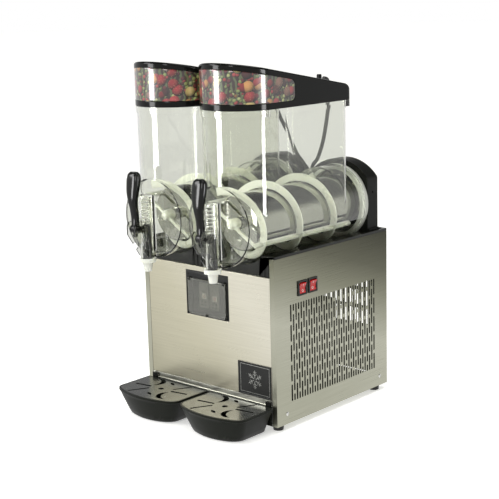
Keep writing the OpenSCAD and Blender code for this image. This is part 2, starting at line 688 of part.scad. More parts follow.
module drum(side) at_bowl(side) translate([0, 0, axis_z]) along_y() difference() {
  union() {
    translate([0, 0, drum_front + 5]) cylinder(r = drum_r, h = drum_back - drum_front - 5, $fn = 180);
    translate([0, 0, drum_front]) cylinder(r1 = drum_r - 5, r2 = drum_r, h = 5, $fn = 180);
    translate([0, 0, drum_front - 6]) cylinder(r = shaft_r + 6, h = 8, $fn = 60);
    translate([0, 0, drum_back - flange_t]) cylinder(r = flange_r, h = flange_t, $fn = 180);
  }
  difference() {
    translate([0, 0, drum_front + 6]) cylinder(r = drum_r - 1.5, h = drum_back - drum_front - 9, $fn = 180);
    translate([0, 0, drum_front]) cylinder(r = shaft_r + 5, h = drum_back, $fn = 60);
  }
  translate([0, 0, drum_front + 20]) cylinder(r = shaft_r + 2, h = drum_back, $fn = 60);
  translate([0, 0, -10]) cylinder(r = shaft_r + run, h = 60, $fn = 60);
}

module gasket(side) at_bowl(side) translate([0, 0, axis_z]) along_y() difference() {
  seat = barrel_back + gap;
  union() {
    translate([0, 0, seat]) cylinder(r = barrel_r - 1.2, h = drum_back - seat, $fn = 180);
    translate([0, 0, seat + 2]) cylinder(r = barrel_r + 0.6, h = drum_back - seat - 4, $fn = 180);
    translate([0, 0, barrel_back - 8]) cylinder(r = barrel_r - bowl_wall - gap, h = 10, $fn = 180);
    translate([0, 0, seat + 2]) rotate_extrude($fn = 180) translate([barrel_r - 1.4, 0]) circle(r = 2, $fn = 32);
    translate([0, 0, drum_back - 2]) rotate_extrude($fn = 180) translate([barrel_r - 1.4, 0]) circle(r = 2, $fn = 32);
  }
  translate([0, 0, seat - 10]) cylinder(r = flange_r + gap, h = 40, $fn = 180);
}

module bowl(side) at_bowl(side) difference() {
  union() {
    translate([0, -bowl_front, axis_z]) along_y() cylinder(r = barrel_r, h = barrel_back + bowl_front, $fn = 180);
    translate([0, -bowl_front + 0.8, axis_z]) along_y() cylinder(r = barrel_r + 0.8, h = 5, $fn = 180);
    translate([0, 0, axis_z]) linear_extrude(tank_top + 2 - axis_z) tank_plan();
    translate([0, 0, tank_top]) linear_extrude(rim_h) lid_plan();
    translate([0, 0, tank_top - 3]) linear_extrude(4) tank_plan(-0.9);
    tap_body();
  }
  translate([0, -bowl_front + bowl_wall, axis_z]) along_y() cylinder(r = barrel_r - bowl_wall, h = 2 * barrel_back, $fn = 180);
  translate([0, 0, axis_z]) linear_extrude(tank_top - axis_z + 30) tank_plan(bowl_wall);
  tap_cuts();
}

// clear body of the tap: tube, web to the barrel's front, and two ears for the lever
module tap_body() {
  translate([0, -tap_y, tube_z]) cylinder(r = tube_r, h = tube_h, $fn = 72);
  translate([-8, -tap_y, tube_z + skirt_h]) cube([16, tap_y - bowl_front + 2, tube_h - skirt_h - 2]);
  for (s = [-1, 1]) across_at(s * (ear_in + ear_t / 2), ear_t)
    difference() {
      polygon([[-tap_y, tube_z + 8], [-tap_y - 12, tube_z + 10], [-pivot_y - 14, pivot_z - 12], [-pivot_y - 14, pivot_z + 8], [-pivot_y - 8, pivot_z + 16], [-tap_y, pivot_z + 20]]);
      translate([-pivot_y + 8, pivot_z - 40]) circle(r = 9, $fn = 48);
    }
}
module across_at(x, width) translate([x, 0, 0]) across(width) children();

module tap_cuts() {
  translate([0, -tap_y, tube_z - 1]) cylinder(r = bore_r, h = spring_top + 1.2 - tube_z, $fn = 72);
  translate([0, -tap_y, port_z]) along_y() cylinder(r = 6, h = tap_y - bowl_front + bowl_wall + 2, $fn = 48);
  // window for the piston's boss and the lever's arm
  translate([-boss_r - 0.6, -tap_y - tube_r - 2, boss_z - boss_r - 1]) cube([2 * boss_r + 1.2, tube_r, 2 * boss_r + tap_lift + 3]);
  translate([0, -pivot_y, pivot_z]) along_x() cylinder(r = pin_r + run, h = 40, center = true, $fn = 40);
}

module drive_shaft(side) at_bowl(side) translate([0, hub_y + 3, axis_z]) along_y() difference() {
  cylinder(r = shaft_r, h = cover_front + 26 - hub_y, $fn = 60);
  for (s = [-1, 1]) translate([s * 10, 0, 4.9]) cube([8, 20, 10], center = true);
}

function helix_y(a) = -5 - flight_pitch * a / 360;
function flight_ring(a) = let(y = helix_y(a), p = [[flight_inner, -flight_t / 2 - 1.2], [flight_inner, flight_t / 2 + 1.2], [flight_r, flight_t / 2], [flight_r, -flight_t / 2]])
  [for (q = p) [q[0] * cos(a), y + q[1], q[0] * sin(a)]];
flight_step = 7.5;
flight_from = (-5 - flight_front) / flight_pitch * 360;
flight_steps = floor((flight_end - flight_front) / flight_pitch * 360 / flight_step);

module auger(side) at_bowl(side) translate([0, 0, axis_z]) difference() {
  union() {
    skin([for (i = [0:flight_steps]) flight_ring(flight_from - i * flight_step)]);
    for (a = [bar_angle, bar_angle + 180]) rotate([0, -a, 0]) translate([bar_in, hub_y + 2.3, -4]) cube([bar_out - bar_in, flight_end - hub_y - 6, 8]);
    rotate([0, -bar_angle, 0]) translate([-bar_out, hub_y + 1, -3.5]) cube([2 * bar_out, 7, 7]);
    translate([0, hub_y, 0]) along_y() cylinder(r = hub_r, h = 20, $fn = 60);
    translate([0, hub_y - 4, 0]) along_y() cylinder(r1 = hub_r - 5, r2 = hub_r - 1, h = 6, $fn = 60);
  }
  translate([0, hub_y + 3 - gap, 0]) along_y() cylinder(r = shaft_r + gap / 2, h = 40, $fn = 60);
}

// ---- lids ----

module lid_side(inset) {
  top = lid_roof - inset;
  slope = tan(lid_slope);
  r = 22;
  front = -bowl_front - 20;
  y = lid_back - inset;
  edge = top - slope * (y - r);
  polygon([[front, lid_z - 20], [front, top - slope * front], [y - r, edge], [y - r, lid_z - 20]]);
  translate([y - r - 0.01, lid_z - 20]) square([r + 0.01, edge + 20 - lid_z - r / cos(lid_slope) - 0.2]);
  intersection() {
    translate([y - r, edge - r / cos(lid_slope)]) circle(r = r, $fn = 96);
    translate([y - r - 6, edge - 2 * r]) square([60, 80]);
  }
}

module lid_solid(inset, z0, h) intersection() {
  translate([0, 0, z0]) linear_extrude(h) lid_plan(inset);
  across(2 * barrel_r + 40) lid_side(inset);
}

module print_region(clear = 0) across(2 * barrel_r + 40) {
  slope = tan(lid_slope);
  z = lid_z + trim_h + clear;
  top = lid_roof - trim_h - clear;
  r = 12;
  end = print_back - clear;
  polygon([[-100, z], [end - r, z], [end, z + r], [end, top - slope * end - r], [end - r, top - slope * (end - r)], [-100, top + slope * 100]]);
}

module lid(side) at_bowl(side) difference() {
  union() {
    lid_solid(0, lid_z, 200);
    translate([0, 0, rim_z - 7]) linear_extrude(8) tank_plan(bowl_wall + gap);
    translate([gland_x, gland_y - 8, lid_roof - tan(lid_slope) * gland_y - 4]) cylinder(r = 6.5, h = 20, $fn = 40);
  }
  lid_solid(lid_wall, lid_z - 10, 200);
  translate([0, 0, rim_z - 8]) linear_extrude(12) tank_plan(bowl_wall + gap + 2);
  intersection() {
    print_region();
    difference() {
      translate([0, 0, lid_z]) linear_extrude(200) lid_plan(-5);
      translate([0, 0, lid_z - 1]) linear_extrude(202) lid_plan(1);
    }
  }
}

module lid_print(side) at_bowl(side) intersection() {
  print_region(gap / 2);
  difference() {
    translate([0, 0, lid_z]) linear_extrude(200) lid_plan(0.1);
    translate([0, 0, lid_z - 1]) linear_extrude(202) lid_plan(1);
  }
}

// lead from the lid's lamp down to its socket between the motor covers
lead_r = 4.5;
// each point as shares of the way from the lid's gland to the socket, across, back and down
lead_left = [[0, 0, 0], [0.012, 0.183, 0.015], [0.048, 0.317, 0.087], [0.143, 0.488, 0.198], [0.31, 0.659, 0.326], [0.548, 0.732, 0.442], [0.738, 0.829, 0.555], [0.93, 0.915, 0.628], [0.985, 0.963, 0.721], [1, 1, 0.866], [1, 1, 1]];
lead_right = [[0, 0, 0], [0.009, 0.183, 0.015], [0.047, 0.317, 0.087], [0.142, 0.415, 0.198], [0.255, 0.5, 0.308], [0.472, 0.695, 0.442], [0.73, 0.854, 0.57], [0.935, 0.951, 0.628], [0.985, 0.976, 0.721], [1, 1, 0.866], [1, 1, 1]];
function lead_path(side, shares) = let(
    a = [side * bowl_x + gland_x, lid_back - 2, lid_roof - tan(lid_slope) * gland_y + 9.7],
    b = [side * socket_x, socket_y, deck_top + 14])
  [for (s = shares) [for (k = [0:2]) a[k] + s[k] * (b[k] - a[k])]];
function spline(p, i, t) = let(a = p[max(i - 1, 0)], b = p[i], c = p[i + 1], d = p[min(i + 2, len(p) - 1)])
  0.5 * (2 * b + (c - a) * t + (2 * a - 5 * b + 4 * c - d) * t * t + (3 * b - a - 3 * c + d) * t * t * t);
function spline_path(p, n) = concat([for (i = [0:len(p) - 2], k = [0:n - 1]) spline(p, i, k / n)], [p[len(p) - 1]]);
function unit(v) = v / norm(v);
function tube_rings(path, r, sides) = [for (i = [0:len(path) - 1]) let(
    t = unit(path[min(i + 1, len(path) - 1)] - path[max(i - 1, 0)]),
    u = unit(cross(t, [1, 0.2, 0])), v = cross(t, u))
  [for (k = [0:sides - 1]) path[i] + r * (cos(k * 360 / sides) * u + sin(k * 360 / sides) * v)]];

module lamp_lead(side, shares) place() {
  skin(tube_rings(spline_path(lead_path(side, shares), 3), lead_r, 10));
  translate([side * socket_x, socket_y, deck_top + gap]) cylinder(r = socket_x - 0.4, h = 20, $fn = 36);
}

// ---- taps ----

// lever: an arm that lifts the piston, a hub, a tip and a lofted handle
lever_stations = [[-9, 4.5, 6.5, 0], [6, 6.5, 8, 0], [24, 7.2, 9, 0.5], [44, 7.4, 9.6, -1.5], [62, 8, 12, -4], [80, 9, 15.6, -3.5], [98, 10, 17.8, -0.5], [114, 10, 17.4, 2], [122, 8, 14.6, 2.8], [126, 5, 9.6, 3]];
function ease(s, k, z) = lookup(z, [for (q = s) [q[0], q[k]]]);
function lever_ring(z) = let(d = ease(lever_stations, 1, z), w = ease(lever_stations, 2, z), y = ease(lever_stations, 3, z))
  [for (i = [0:19]) let(a = i * 18, c = cos(a), s = sin(a)) [w * sign(c) * pow(abs(c), 0.75), y + d * sign(s) * pow(abs(s), 0.75), z * lever_h / 126]];

module lever(side) at_bowl(side) translate([0, -pivot_y, pivot_z]) difference() {
  union() {
    skin([for (z = concat([-9, 0], [for (h = [6:6:114]) h], [118, 122, 124.5, 126])) lever_ring(z)]);
    along_x() cylinder(r = 9.4, h = 2 * (ear_in - gap), center = true, $fn = 60);
    across(2 * arm_r) polygon([[-5, -17], [-1.5, -18], [3, -16], [5, -2], [0, 5], [-6, 2]]);
    rotate([-atan((pivot_z - boss_z) / arm_y), 0, 0]) {
      translate([-arm_r, 0, -2.4]) cube([2 * arm_r, arm_reach, 4.8]);
      translate([0, arm_reach, 0]) along_x() cylinder(r = arm_r, h = 2 * arm_r, center = true, $fn = 48);
    }
  }
  along_x() cylinder(r = pin_r + run, h = 40, center = true, $fn = 40);
}

module lever_pin(side) at_bowl(side) translate([-ear_in - ear_t - gap, -pivot_y, pivot_z]) along_x() {
  cylinder(r = pin_r, h = 2 * (ear_in + ear_t + gap), $fn = 40);
  for (z = [-1.6, 2 * (ear_in + ear_t + gap)]) translate([0, 0, z]) cylinder(r = pin_r + 1.6, h = 1.6, $fn = 40);
}

module piston(side) at_bowl(side) translate([0, -tap_y, piston_z]) difference() {
  union() {
    cylinder(r = piston_r, h = piston_h, $fn = 72);
    translate([0, -(boss_front - tap_y), boss_z - piston_z]) along_y() cylinder(r = boss_r, h = boss_front - tap_y, $fn = 60);
  }
  // grooves for the seals, and the pocket for the lever's arm
  for (z = [5, 24]) translate([0, 0, z]) rotate_extrude($fn = 72) translate([piston_r + 0.2, 0]) circle(r = 1.2, $fn = 24);
  translate([-arm_r - 0.5, -(boss_front - tap_y) - 1, boss_z - piston_z - boss_r - 2]) cube([2 * arm_r + 1, boss_front - arm_lip - tap_y + 1, boss_r + 2 + arm_r + 0.7]);
  translate([0, 0, piston_h - 3]) difference() {
    cylinder(r = piston_r + 1, h = 4, $fn = 72);
    translate([0, 0, -1]) cylinder(r = piston_r - 4.6, h = 6, $fn = 60);
    translate([0, 0, -1]) cylinder(r = 40, h = 1);
  }
}

module spring(side) at_bowl(side) translate([0, -tap_y, spring_z + wire_r]) {
  rise = spring_top - spring_z - 2 * wire_r;
  skin([for (i = [0:coils * 14]) let(a = i * 360 / 14, z = rise * i / (coils * 14)) [for (k = [0:7]) let(r = 8 + wire_r * cos(k * 45)) [r * cos(a), r * sin(a), z - wire_r * sin(k * 45)]]]);
}

module nozzle(side) at_bowl(side) translate([0, -tap_y, tube_z - gap]) difference() {
  union() {
    translate([0, 0, -4]) cylinder(r = tube_r + 4.2, h = 4 + skirt_h, $fn = 72);
    translate([0, 0, -nozzle_h]) cylinder(r1 = mouth_r + 2.2, r2 = mouth_r + 5.4, h = nozzle_h - 3, $fn = 72);
  }
  cylinder(r = tube_r + gap, h = skirt_h + 1, $fn = 72);
  translate([0, 0, -nozzle_h - 0.01]) cylinder(r1 = mouth_r, r2 = bore_r - 1, h = nozzle_h + 0.02, $fn = 72);
}

// ---- drip trays ----

// ring of a tray's outline at one height, moved in from the rim's outline
function tray_ring(inset, front_in, r, z) = let(
    w = tray_hw - inset, back = -tray_gap - min(inset, 6) , corner = -(tray_reach - tray_bulge) + front_in,
    bow = tray_bulge, crown = (w * w + bow * bow) / (2 * bow), half = asin(w / crown), edge = r / w * half * 1.25)
  concat(
    [for (a = [0:15:90]) [w - 4 + 4 * cos(a), back - 4 + 4 * sin(a), z]],
    [for (a = [90:15:180]) [-w + 4 + 4 * cos(a), back - 4 + 4 * sin(a), z]],
    [for (i = [0:5]) let(t = i / 6, q = [-w, corner + r], c = [-w, corner], e = [-crown * sin(half - edge), corner + crown * cos(half) - crown * cos(half - edge)])
      concat((1 - t) * (1 - t) * q + 2 * t * (1 - t) * c + t * t * e, [z])],
    [for (i = [0:24]) let(a = -(half - edge) + i * (half - edge) / 12) [crown * sin(a), corner + crown * cos(half) - crown * cos(a), z]],
    [for (i = [5:-1:0]) let(t = i / 6, q = [w, corner + r], c = [w, corner], e = [crown * sin(half - edge), corner + crown * cos(half) - crown * cos(half - edge)])
      concat((1 - t) * (1 - t) * q + 2 * t * (1 - t) * c + t * t * e, [z])]);

function lean(z) = tray_lean * pow((tray_z - z) / tray_z, 1.15);
tray_levels = [for (t = [0:8]) tray_floor + 3 + (tray_z - 9 - tray_floor) * t / 8];

module tray(side) at_bowl(side) difference() {
  skin(concat([tray_ring(lean(tray_floor) + 3, lean(tray_floor) * 0.66 + 3, tray_r, tray_floor)],
    [for (z = tray_levels) tray_ring(lean(z), lean(z) * 0.66, tray_r, z)],
    [tray_ring(0, 0, tray_r, tray_z - 5), tray_ring(0, 0, tray_r, tray_z)]));
  skin(concat([tray_ring(lean(tray_floor) + 5, lean(tray_floor) * 0.66 + 5, tray_r - 2, tray_floor + tray_wall)],
    [for (z = tray_levels) if (z > tray_floor + tray_wall) tray_ring(lean(z) + tray_wall + 3, lean(z) * 0.66 + tray_wall + 3, tray_r - 2, z + 1)],
    [tray_ring(tray_wall + 3.4, tray_wall + 3.4, tray_r - 2, tray_z + 2)]));
  skin([tray_ring(grid_inset - gap, grid_inset - gap, tray_r - 2, grid_z - gap), tray_ring(grid_inset - gap, grid_inset - gap, tray_r - 2, tray_z + 3)]);
  for (d = [-1, 1]) translate([d * peg_x, -tray_gap - 40, peg_z]) along_y() cylinder(r = peg_r + gap, h = 60, $fn = 40);
}

module grid_holes() {
  circle(r = 6.5, $fn = 48);
  for (a = [0, 180]) rotate(a) {
    translate([-45, 28]) rotate(32) difference() {
      circle(r = 23, $fn = 90);
      translate([-16, 0]) circle(r = 27.5, $fn = 90);
    }
    translate([-54, -3.5]) rotate(8) slot(46, 6.5);
    translate([-39, -34]) rotate(61) slot(52, 5.5);
    translate([-3, 40]) rotate(-25) intersection() {
      translate([0, -12]) circle(r = 16, $fn = 60);
      translate([0, 12]) circle(r = 16, $fn = 60);
    }
  }
}

module grid(side) at_bowl(side) difference() {
  skin([tray_ring(grid_inset, grid_inset, tray_r - 2, grid_z), tray_ring(grid_inset, grid_inset, tray_r - 2, grid_z + grid_t)]);
  translate([0, -(tray_gap + tray_reach) / 2 + 8, grid_z - 1]) linear_extrude(grid_t + 2) grid_holes();
}

color(steel) base_pan();
color(black) feet();
color(steel) left_side_panel();
color(steel) right_side_panel();
color(steel) front_panel();
color(steel) front_sill();
color(steel) rear_panel();
color(black) tray_holder();
color(black) top_deck();
color(black) control_recess();
color([0.6, 0.6, 0.58]) left_thermostat();
color([0.6, 0.6, 0.58]) right_thermostat();
color(clear) control_flap();
color(black) badge_plate();
color(steel) panel_screws();
color(black) front_switch_frame();
color(black) rear_switch_frame();
color([0.7, 0.05, 0.05]) front_rocker();
color([0.7, 0.05, 0.05]) rear_rocker();
color(black) mains_inlet();
color(black) compressor();
color([0.8, 0.8, 0.8]) condenser();
color(steel) fan_shroud();
color([0.5, 0.5, 0.5]) fan_motor();
color(black) condenser_fan();
color([0.4, 0.4, 0.42]) gear_motor(-1);  // left_gear_motor
color(black) motor_cover(-1);  // left_motor_cover
color([0.85, 0.85, 0.85]) drum(-1);  // left_drum
color([0.7, 0.7, 0.7]) gasket(-1);  // left_gasket
color(clear) bowl(-1);  // left_bowl
color([0.9, 0.9, 0.87]) auger(-1);  // left_auger
color(steel) drive_shaft(-1);  // left_drive_shaft
color(black) lid(-1);  // left_lid
color([0.6, 0.2, 0.2]) lid_print(-1);  // left_lid_print
color(black) lamp_lead(-1, lead_left);  // left_lamp_lead
color(black) lever(-1);  // left_lever
color(steel) lever_pin(-1);  // left_lever_pin
color(black) piston(-1);  // left_piston
color(steel) spring(-1);  // left_spring
color([0.92, 0.92, 0.9]) nozzle(-1);  // left_nozzle
color(black) tray(-1);  // left_tray
color([0.2, 0.2, 0.2]) grid(-1);  // left_grid
color([0.4, 0.4, 0.42]) gear_motor(1);  // right_gear_motor
color(black) motor_cover(1);  // right_motor_cover
color([0.85, 0.85, 0.85]) drum(1);  // right_drum
color([0.7, 0.7, 0.7]) gasket(1);  // right_gasket
color(clear) bowl(1);  // right_bowl
color([0.9, 0.9, 0.87]) auger(1);  // right_auger
color(steel) drive_shaft(1);  // right_drive_shaft
color(black) lid(1);  // right_lid
color([0.6, 0.2, 0.2]) lid_print(1);  // right_lid_print
color(black) lamp_lead(1, lead_right);  // right_lamp_lead
color(black) lever(1);  // right_lever
color(steel) lever_pin(1);  // right_lever_pin
color(black) piston(1);  // right_piston
color(steel) spring(1);  // right_spring
color([0.92, 0.92, 0.9]) nozzle(1);  // right_nozzle
color(black) tray(1);  // right_tray
color([0.2, 0.2, 0.2]) grid(1);  // right_grid
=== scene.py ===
import json
import math

import bmesh
import bpy
import numpy as np
from mathutils import Matrix, Vector
from mathutils.bvhtree import BVHTree

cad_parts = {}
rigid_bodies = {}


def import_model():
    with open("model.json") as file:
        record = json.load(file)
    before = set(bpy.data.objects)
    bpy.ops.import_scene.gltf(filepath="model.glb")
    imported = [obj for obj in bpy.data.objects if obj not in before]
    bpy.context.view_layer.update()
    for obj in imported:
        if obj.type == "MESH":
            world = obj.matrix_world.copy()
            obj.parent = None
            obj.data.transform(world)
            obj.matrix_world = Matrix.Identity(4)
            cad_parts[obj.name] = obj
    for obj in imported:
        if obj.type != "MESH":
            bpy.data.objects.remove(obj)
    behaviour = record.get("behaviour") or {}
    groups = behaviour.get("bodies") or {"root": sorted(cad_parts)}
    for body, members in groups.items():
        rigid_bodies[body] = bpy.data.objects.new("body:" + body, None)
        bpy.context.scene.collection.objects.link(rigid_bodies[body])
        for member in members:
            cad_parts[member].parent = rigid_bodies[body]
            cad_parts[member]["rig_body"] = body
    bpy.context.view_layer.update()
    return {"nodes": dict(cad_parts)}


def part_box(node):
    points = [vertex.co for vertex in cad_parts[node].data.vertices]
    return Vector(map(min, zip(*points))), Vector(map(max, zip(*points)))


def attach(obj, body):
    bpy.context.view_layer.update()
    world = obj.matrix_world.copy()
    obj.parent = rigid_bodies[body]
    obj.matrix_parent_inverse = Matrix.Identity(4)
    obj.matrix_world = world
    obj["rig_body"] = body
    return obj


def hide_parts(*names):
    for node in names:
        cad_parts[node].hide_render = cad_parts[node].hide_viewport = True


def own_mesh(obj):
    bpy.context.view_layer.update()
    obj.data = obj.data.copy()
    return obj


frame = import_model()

nodes = frame["nodes"]
sides = {"left": -100.0, "right": 100.0}     # each bowl's centre across the machine, mm
frontPlane = -138.5                          # the front panel's face along y, mm
axisHeight = 457.0                           # the barrels' centre line, mm
print("frame loaded:", len(nodes), "nodes")

camera = {
    "place": (1.8438, -2.0298, 0.9335),      # metres
    "azimuth": 42.1606,                      # degrees round from the front, towards the right
    "elevation": 11.7552,
    "roll": -1.507,
    "lens": 87.63,                           # mm, on a sensor 36 mm wide
    "sensor": 36.0,
}


def newObject(name, data):
    # an object that holds the data, put into the scene
    made = bpy.data.objects.new(name, data)
    bpy.context.scene.collection.objects.link(made)
    return made


def makeCamera(plan):
    # its axes are worked out from the angles: back points from the object to the camera, up is back x right
    data = bpy.data.cameras.new("photoCamera")
    data.lens, data.sensor_width, data.sensor_fit = plan["lens"], plan["sensor"], "AUTO"
    turn, rise, roll = (math.radians(plan[k]) for k in ("azimuth", "elevation", "roll"))
    back = Vector((math.sin(turn) * math.cos(rise), -math.cos(turn) * math.cos(rise), math.sin(rise)))
    right = Vector((math.cos(turn), math.sin(turn), 0.0))
    up = back.cross(right)
    rolledRight = right * math.cos(roll) + up * math.sin(roll)
    rolledUp = up * math.cos(roll) - right * math.sin(roll)
    holder = newObject("photoCamera", data)
    axes = Matrix((rolledRight, rolledUp, back)).transposed().to_4x4()
    holder.matrix_world = Matrix.Translation(plan["place"]) @ axes
    bpy.context.scene.camera = holder
    return holder


cameraObject = makeCamera(camera)
bpy.context.view_layer.update()
print("camera placed")


def linear(code, alpha=1.0):
    # sRGB hex to linear light: below 0.04045 a straight line, above it a power of 2.4
    code = code.lstrip("#")
    parts = np.array([int(code[i:i + 2], 16) / 255 for i in (0, 2, 4)])
    out = np.where(parts <= 0.04045, parts / 12.92, ((parts + 0.055) / 1.055) ** 2.4)
    return (*out.tolist(), alpha)


def inFrame(points, side=None):
    # machine millimetres, measured from the front panel's face, to frame metres; side shifts onto a bowl's
    # centre
    shift = np.array([sides[side] if side else 0.0, frontPlane, 0.0])
    return (np.array(points, float) + shift) / 1000


def makeObject(name, points, faces, smoothAngle=40):
    # a mesh object: near corners become one, faces look outward, and an edge over smoothAngle degrees stays
    # sharp
    mesh = bpy.data.meshes.new(name)
    mesh.from_pydata(np.asarray(points).tolist(), [], [list(f) for f in faces])
    mesh.update()
    closed = bmesh.new()
    closed.from_mesh(mesh)
    bmesh.ops.remove_doubles(closed, verts=closed.verts, dist=1e-6)
    bmesh.ops.recalc_face_normals(closed, faces=closed.faces)
    closed.to_mesh(mesh)
    closed.free()
    mesh.shade_smooth()
    mesh.set_sharp_from_angle(angle=math.radians(smoothAngle))
    return newObject(name, mesh)


def gridFaces(rows, around, closed=True):
    # quads between neighbouring rows of a grid of points, as whole arrays
    i, j = np.meshgrid(np.arange(rows - 1), np.arange(around if closed else around - 1), indexing="ij")
    k = (j + 1) % around
    quads = np.stack([i * around + j, i * around + k, (i + 1) * around + k, (i + 1) * around + j], -1)
    return quads.reshape(-1, 4).tolist()


def loft(rings, capStart=True, capEnd=True):
    # closed rings of equal length joined into a skin; each open end is filled by a fan about its middle
    rings = np.asarray(rings, float)
    rows, around = rings.shape[:2]
    points = rings.reshape(-1, 3)
    faces = gridFaces(rows, around)
    for wanted, row in ((capStart, 0), (capEnd, rows - 1)):
        if wanted:
            centre = len(points)
            points = np.vstack([points, rings[row].mean(0)])
            faces += [(row * around + j, row * around + (j + 1) % around, centre) for j in range(around)]
    return points, faces


def joined(parts):
    # several (points, faces) shells as one
    points, faces, start = [], [], 0
    for p, f in parts:
        points.append(np.asarray(p))
        faces += [[v + start for v in face] for face in f]
        start += len(p)
    return np.vstack(points), faces


def tube(path, radius, around=16):
    # a circle carried along a path; its two axes are cross products of the path's direction with a fixed lean
    path = np.asarray(path, float)
    along = np.gradient(path, axis=0)
    along /= np.linalg.norm(along, axis=1, keepdims=True)
    across = np.cross(along, np.array([1.0, 0.2, 0.05]))
    across /= np.linalg.norm(across, axis=1, keepdims=True)
    third = np.cross(along, across)
    turn = np.linspace(0, 2 * np.pi, around, endpoint=False)
    radius = np.broadcast_to(radius, len(path))[:, None, None]
    rings = path[:, None] + radius * (np.cos(turn)[None, :, None] * across[:, None]
                                      + np.sin(turn)[None, :, None] * third[:, None])
    return loft(rings)


def lathe(profile, around=96, axis="y"):
    # a closed profile of (radius, place along the axis) turned about the axis: x = radius cosine, z = radius
    # sine
    profile = np.asarray(profile, float)
    turn = np.linspace(0, 2 * np.pi, around, endpoint=False)
    radius, along = profile[:, 0, None], np.broadcast_to(profile[:, 1, None], (len(profile), around))
    flat = (radius * np.cos(turn), radius * np.sin(turn))
    order = {"y": (flat[0], along, flat[1]), "z": (flat[0], flat[1], along),
             "x": (along, flat[0], flat[1])}[axis]
    rings = np.stack(order, -1)
    return loft(np.concatenate([rings, rings[:1]]), False, False)


def roundedBar(size, radius, around=5):
    # a box along y: its section is a rounded rectangle, which draws in over the radius at both ends
    x, y, z = (s / 2 for s in size)
    corner = np.linspace(0, np.pi / 2, around)
    ring = np.concatenate([np.stack([sx * (x - radius) + radius * np.cos(corner + a),
                                     sz * (z - radius) + radius * np.sin(corner + a)], -1)
                           for a, sx, sz in ((0, 1, 1), (np.pi / 2, -1, 1), (np.pi, -1, -1),
                                             (3 * np.pi / 2, 1, -1))])
    lean = np.linspace(0, np.pi / 2, around)
    pull = np.concatenate([radius * (1 - np.sin(lean)), radius * (1 - np.sin(lean[::-1]))])
    place = np.concatenate([-y + radius * (1 - np.cos(lean)), (y - radius * (1 - np.cos(lean)))[::-1]])
    shrink = np.stack([1 - pull / x, 1 - pull / z], -1)
    rings = np.stack([ring[None, :, 0] * shrink[:, None, 0],
                      np.broadcast_to(place[:, None], (len(place), len(ring))),
                      ring[None, :, 1] * shrink[:, None, 1]], -1)
    return loft(rings)


def moved(shell, turn=None, shift=(0, 0, 0)):
    # a shell turned by a 3 x 3 table and then shifted
    points, faces = shell
    points = np.asarray(points, float)
    if turn is not None:
        points = points @ np.array(turn).T
    return points + np.array(shift, float), faces


def turnY(degrees):
    # a turn about y: x becomes x cos + z sin, and z becomes z cos - x sin
    c, s = math.cos(math.radians(degrees)), math.sin(math.radians(degrees))
    return [[c, 0, s], [0, 1, 0], [-s, 0, c]]


def turnX(degrees):
    # a turn about x: y becomes y cos - z sin, and z becomes y sin + z cos
    c, s = math.cos(math.radians(degrees)), math.sin(math.radians(degrees))
    return [[1, 0, 0], [0, c, -s], [0, s, c]]


def throughPoints(knots, perSpan=8):
    # a Catmull-Rom curve: each span is a cubic whose end slopes are half the distance between its outer
    # neighbours
    p = np.asarray(knots, float)
    p = np.vstack([p[:1], p, p[-1:]])
    t = np.linspace(0, 1, perSpan, endpoint=False)[:, None]
    spans = [0.5 * (2 * b + (c - a) * t + (2 * a - 5 * b + 4 * c - d) * t ** 2
                    + (3 * b - a - 3 * c + d) * t ** 3)
             for a, b, c, d in zip(p, p[1:], p[2:], p[3:])]
    return np.vstack([*spans, p[-1:]])


def place(obj, body, slotName, surface, replaced=()):
    # gives a new piece its body, its material slot and its finish, and hides the CAD nodes that it stands for
    obj.data.materials.clear()
    obj.data.materials.append(surface)
    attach(obj, body)
    if replaced:
        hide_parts(*replaced)
    return obj


def feed(made, sources):
    # links each source to the input that it names
    for key, source in sources.items():
        made.id_data.links.new(source, made.inputs[key])


def addNode(tree, kind, values=None, feeds=None, stops=None, **settings):
    # adds one node: its settings, its plain inputs, what feeds it, and a colour ramp's stops
    made = tree.nodes.new("ShaderNode" + kind)
    for key, value in settings.items():
        setattr(made, key, value)
    for key, value in (values or {}).items():
        made.inputs[key].default_value = value
    feed(made, feeds or {})
    for i, (at, colour) in enumerate(stops or ()):
        marks = made.color_ramp.elements
        mark = marks[i] if i < 2 else marks.new(at)
        mark.position, mark.color = at, linear(colour) if isinstance(colour, str) else colour
    return made


def newMaterial(name, **surface):
    # a principled surface whose inputs are given by name, with an underscore for each space
    made = bpy.data.materials.new(name)
    made.use_nodes = True
    tree = made.node_tree
    shader = tree.nodes["Principled BSDF"]
    for key, value in surface.items():
        shader.inputs[key.replace("_", " ")].default_value = value
    made.diffuse_color = surface.get("Base_Color", (0.5, 0.5, 0.5, 1))
    return made, tree, shader


def shades(colour, *factors):
    # stops of one colour, each times its factor
    base = np.array(linear(colour)[:3])
    return [(at, (*(base * factor).clip(0, 1).tolist(), 1)) for at, factor in factors]


def varied(tree, shader, roughness, tones=None, relief=None):
    # how a surface varies. Each plan starts with its source: roughness goes from one level to another as the
    # source goes from start to end, tones are a colour ramp's stops, and relief is a bump's strength and
    # height in metres
    source, start, end, low, high = roughness
    values = {"From Min": start, "From Max": end, "To Min": low, "To Max": high}
    feed(shader, {"Roughness": addNode(tree, "MapRange", values, {"Value": source}).outputs["Result"]})
    if tones:
        feed(shader, {"Base Color": addNode(tree, "ValToRGB", feeds={"Fac": tones[0]},
                                            stops=tones[1]).outputs["Color"]})
    if relief:
        source, strength, height = relief
        raised = addNode(tree, "Bump", {"Strength": strength, "Distance": height}, {"Height": source})
        feed(shader, {"Normal": raised.outputs["Normal"]})


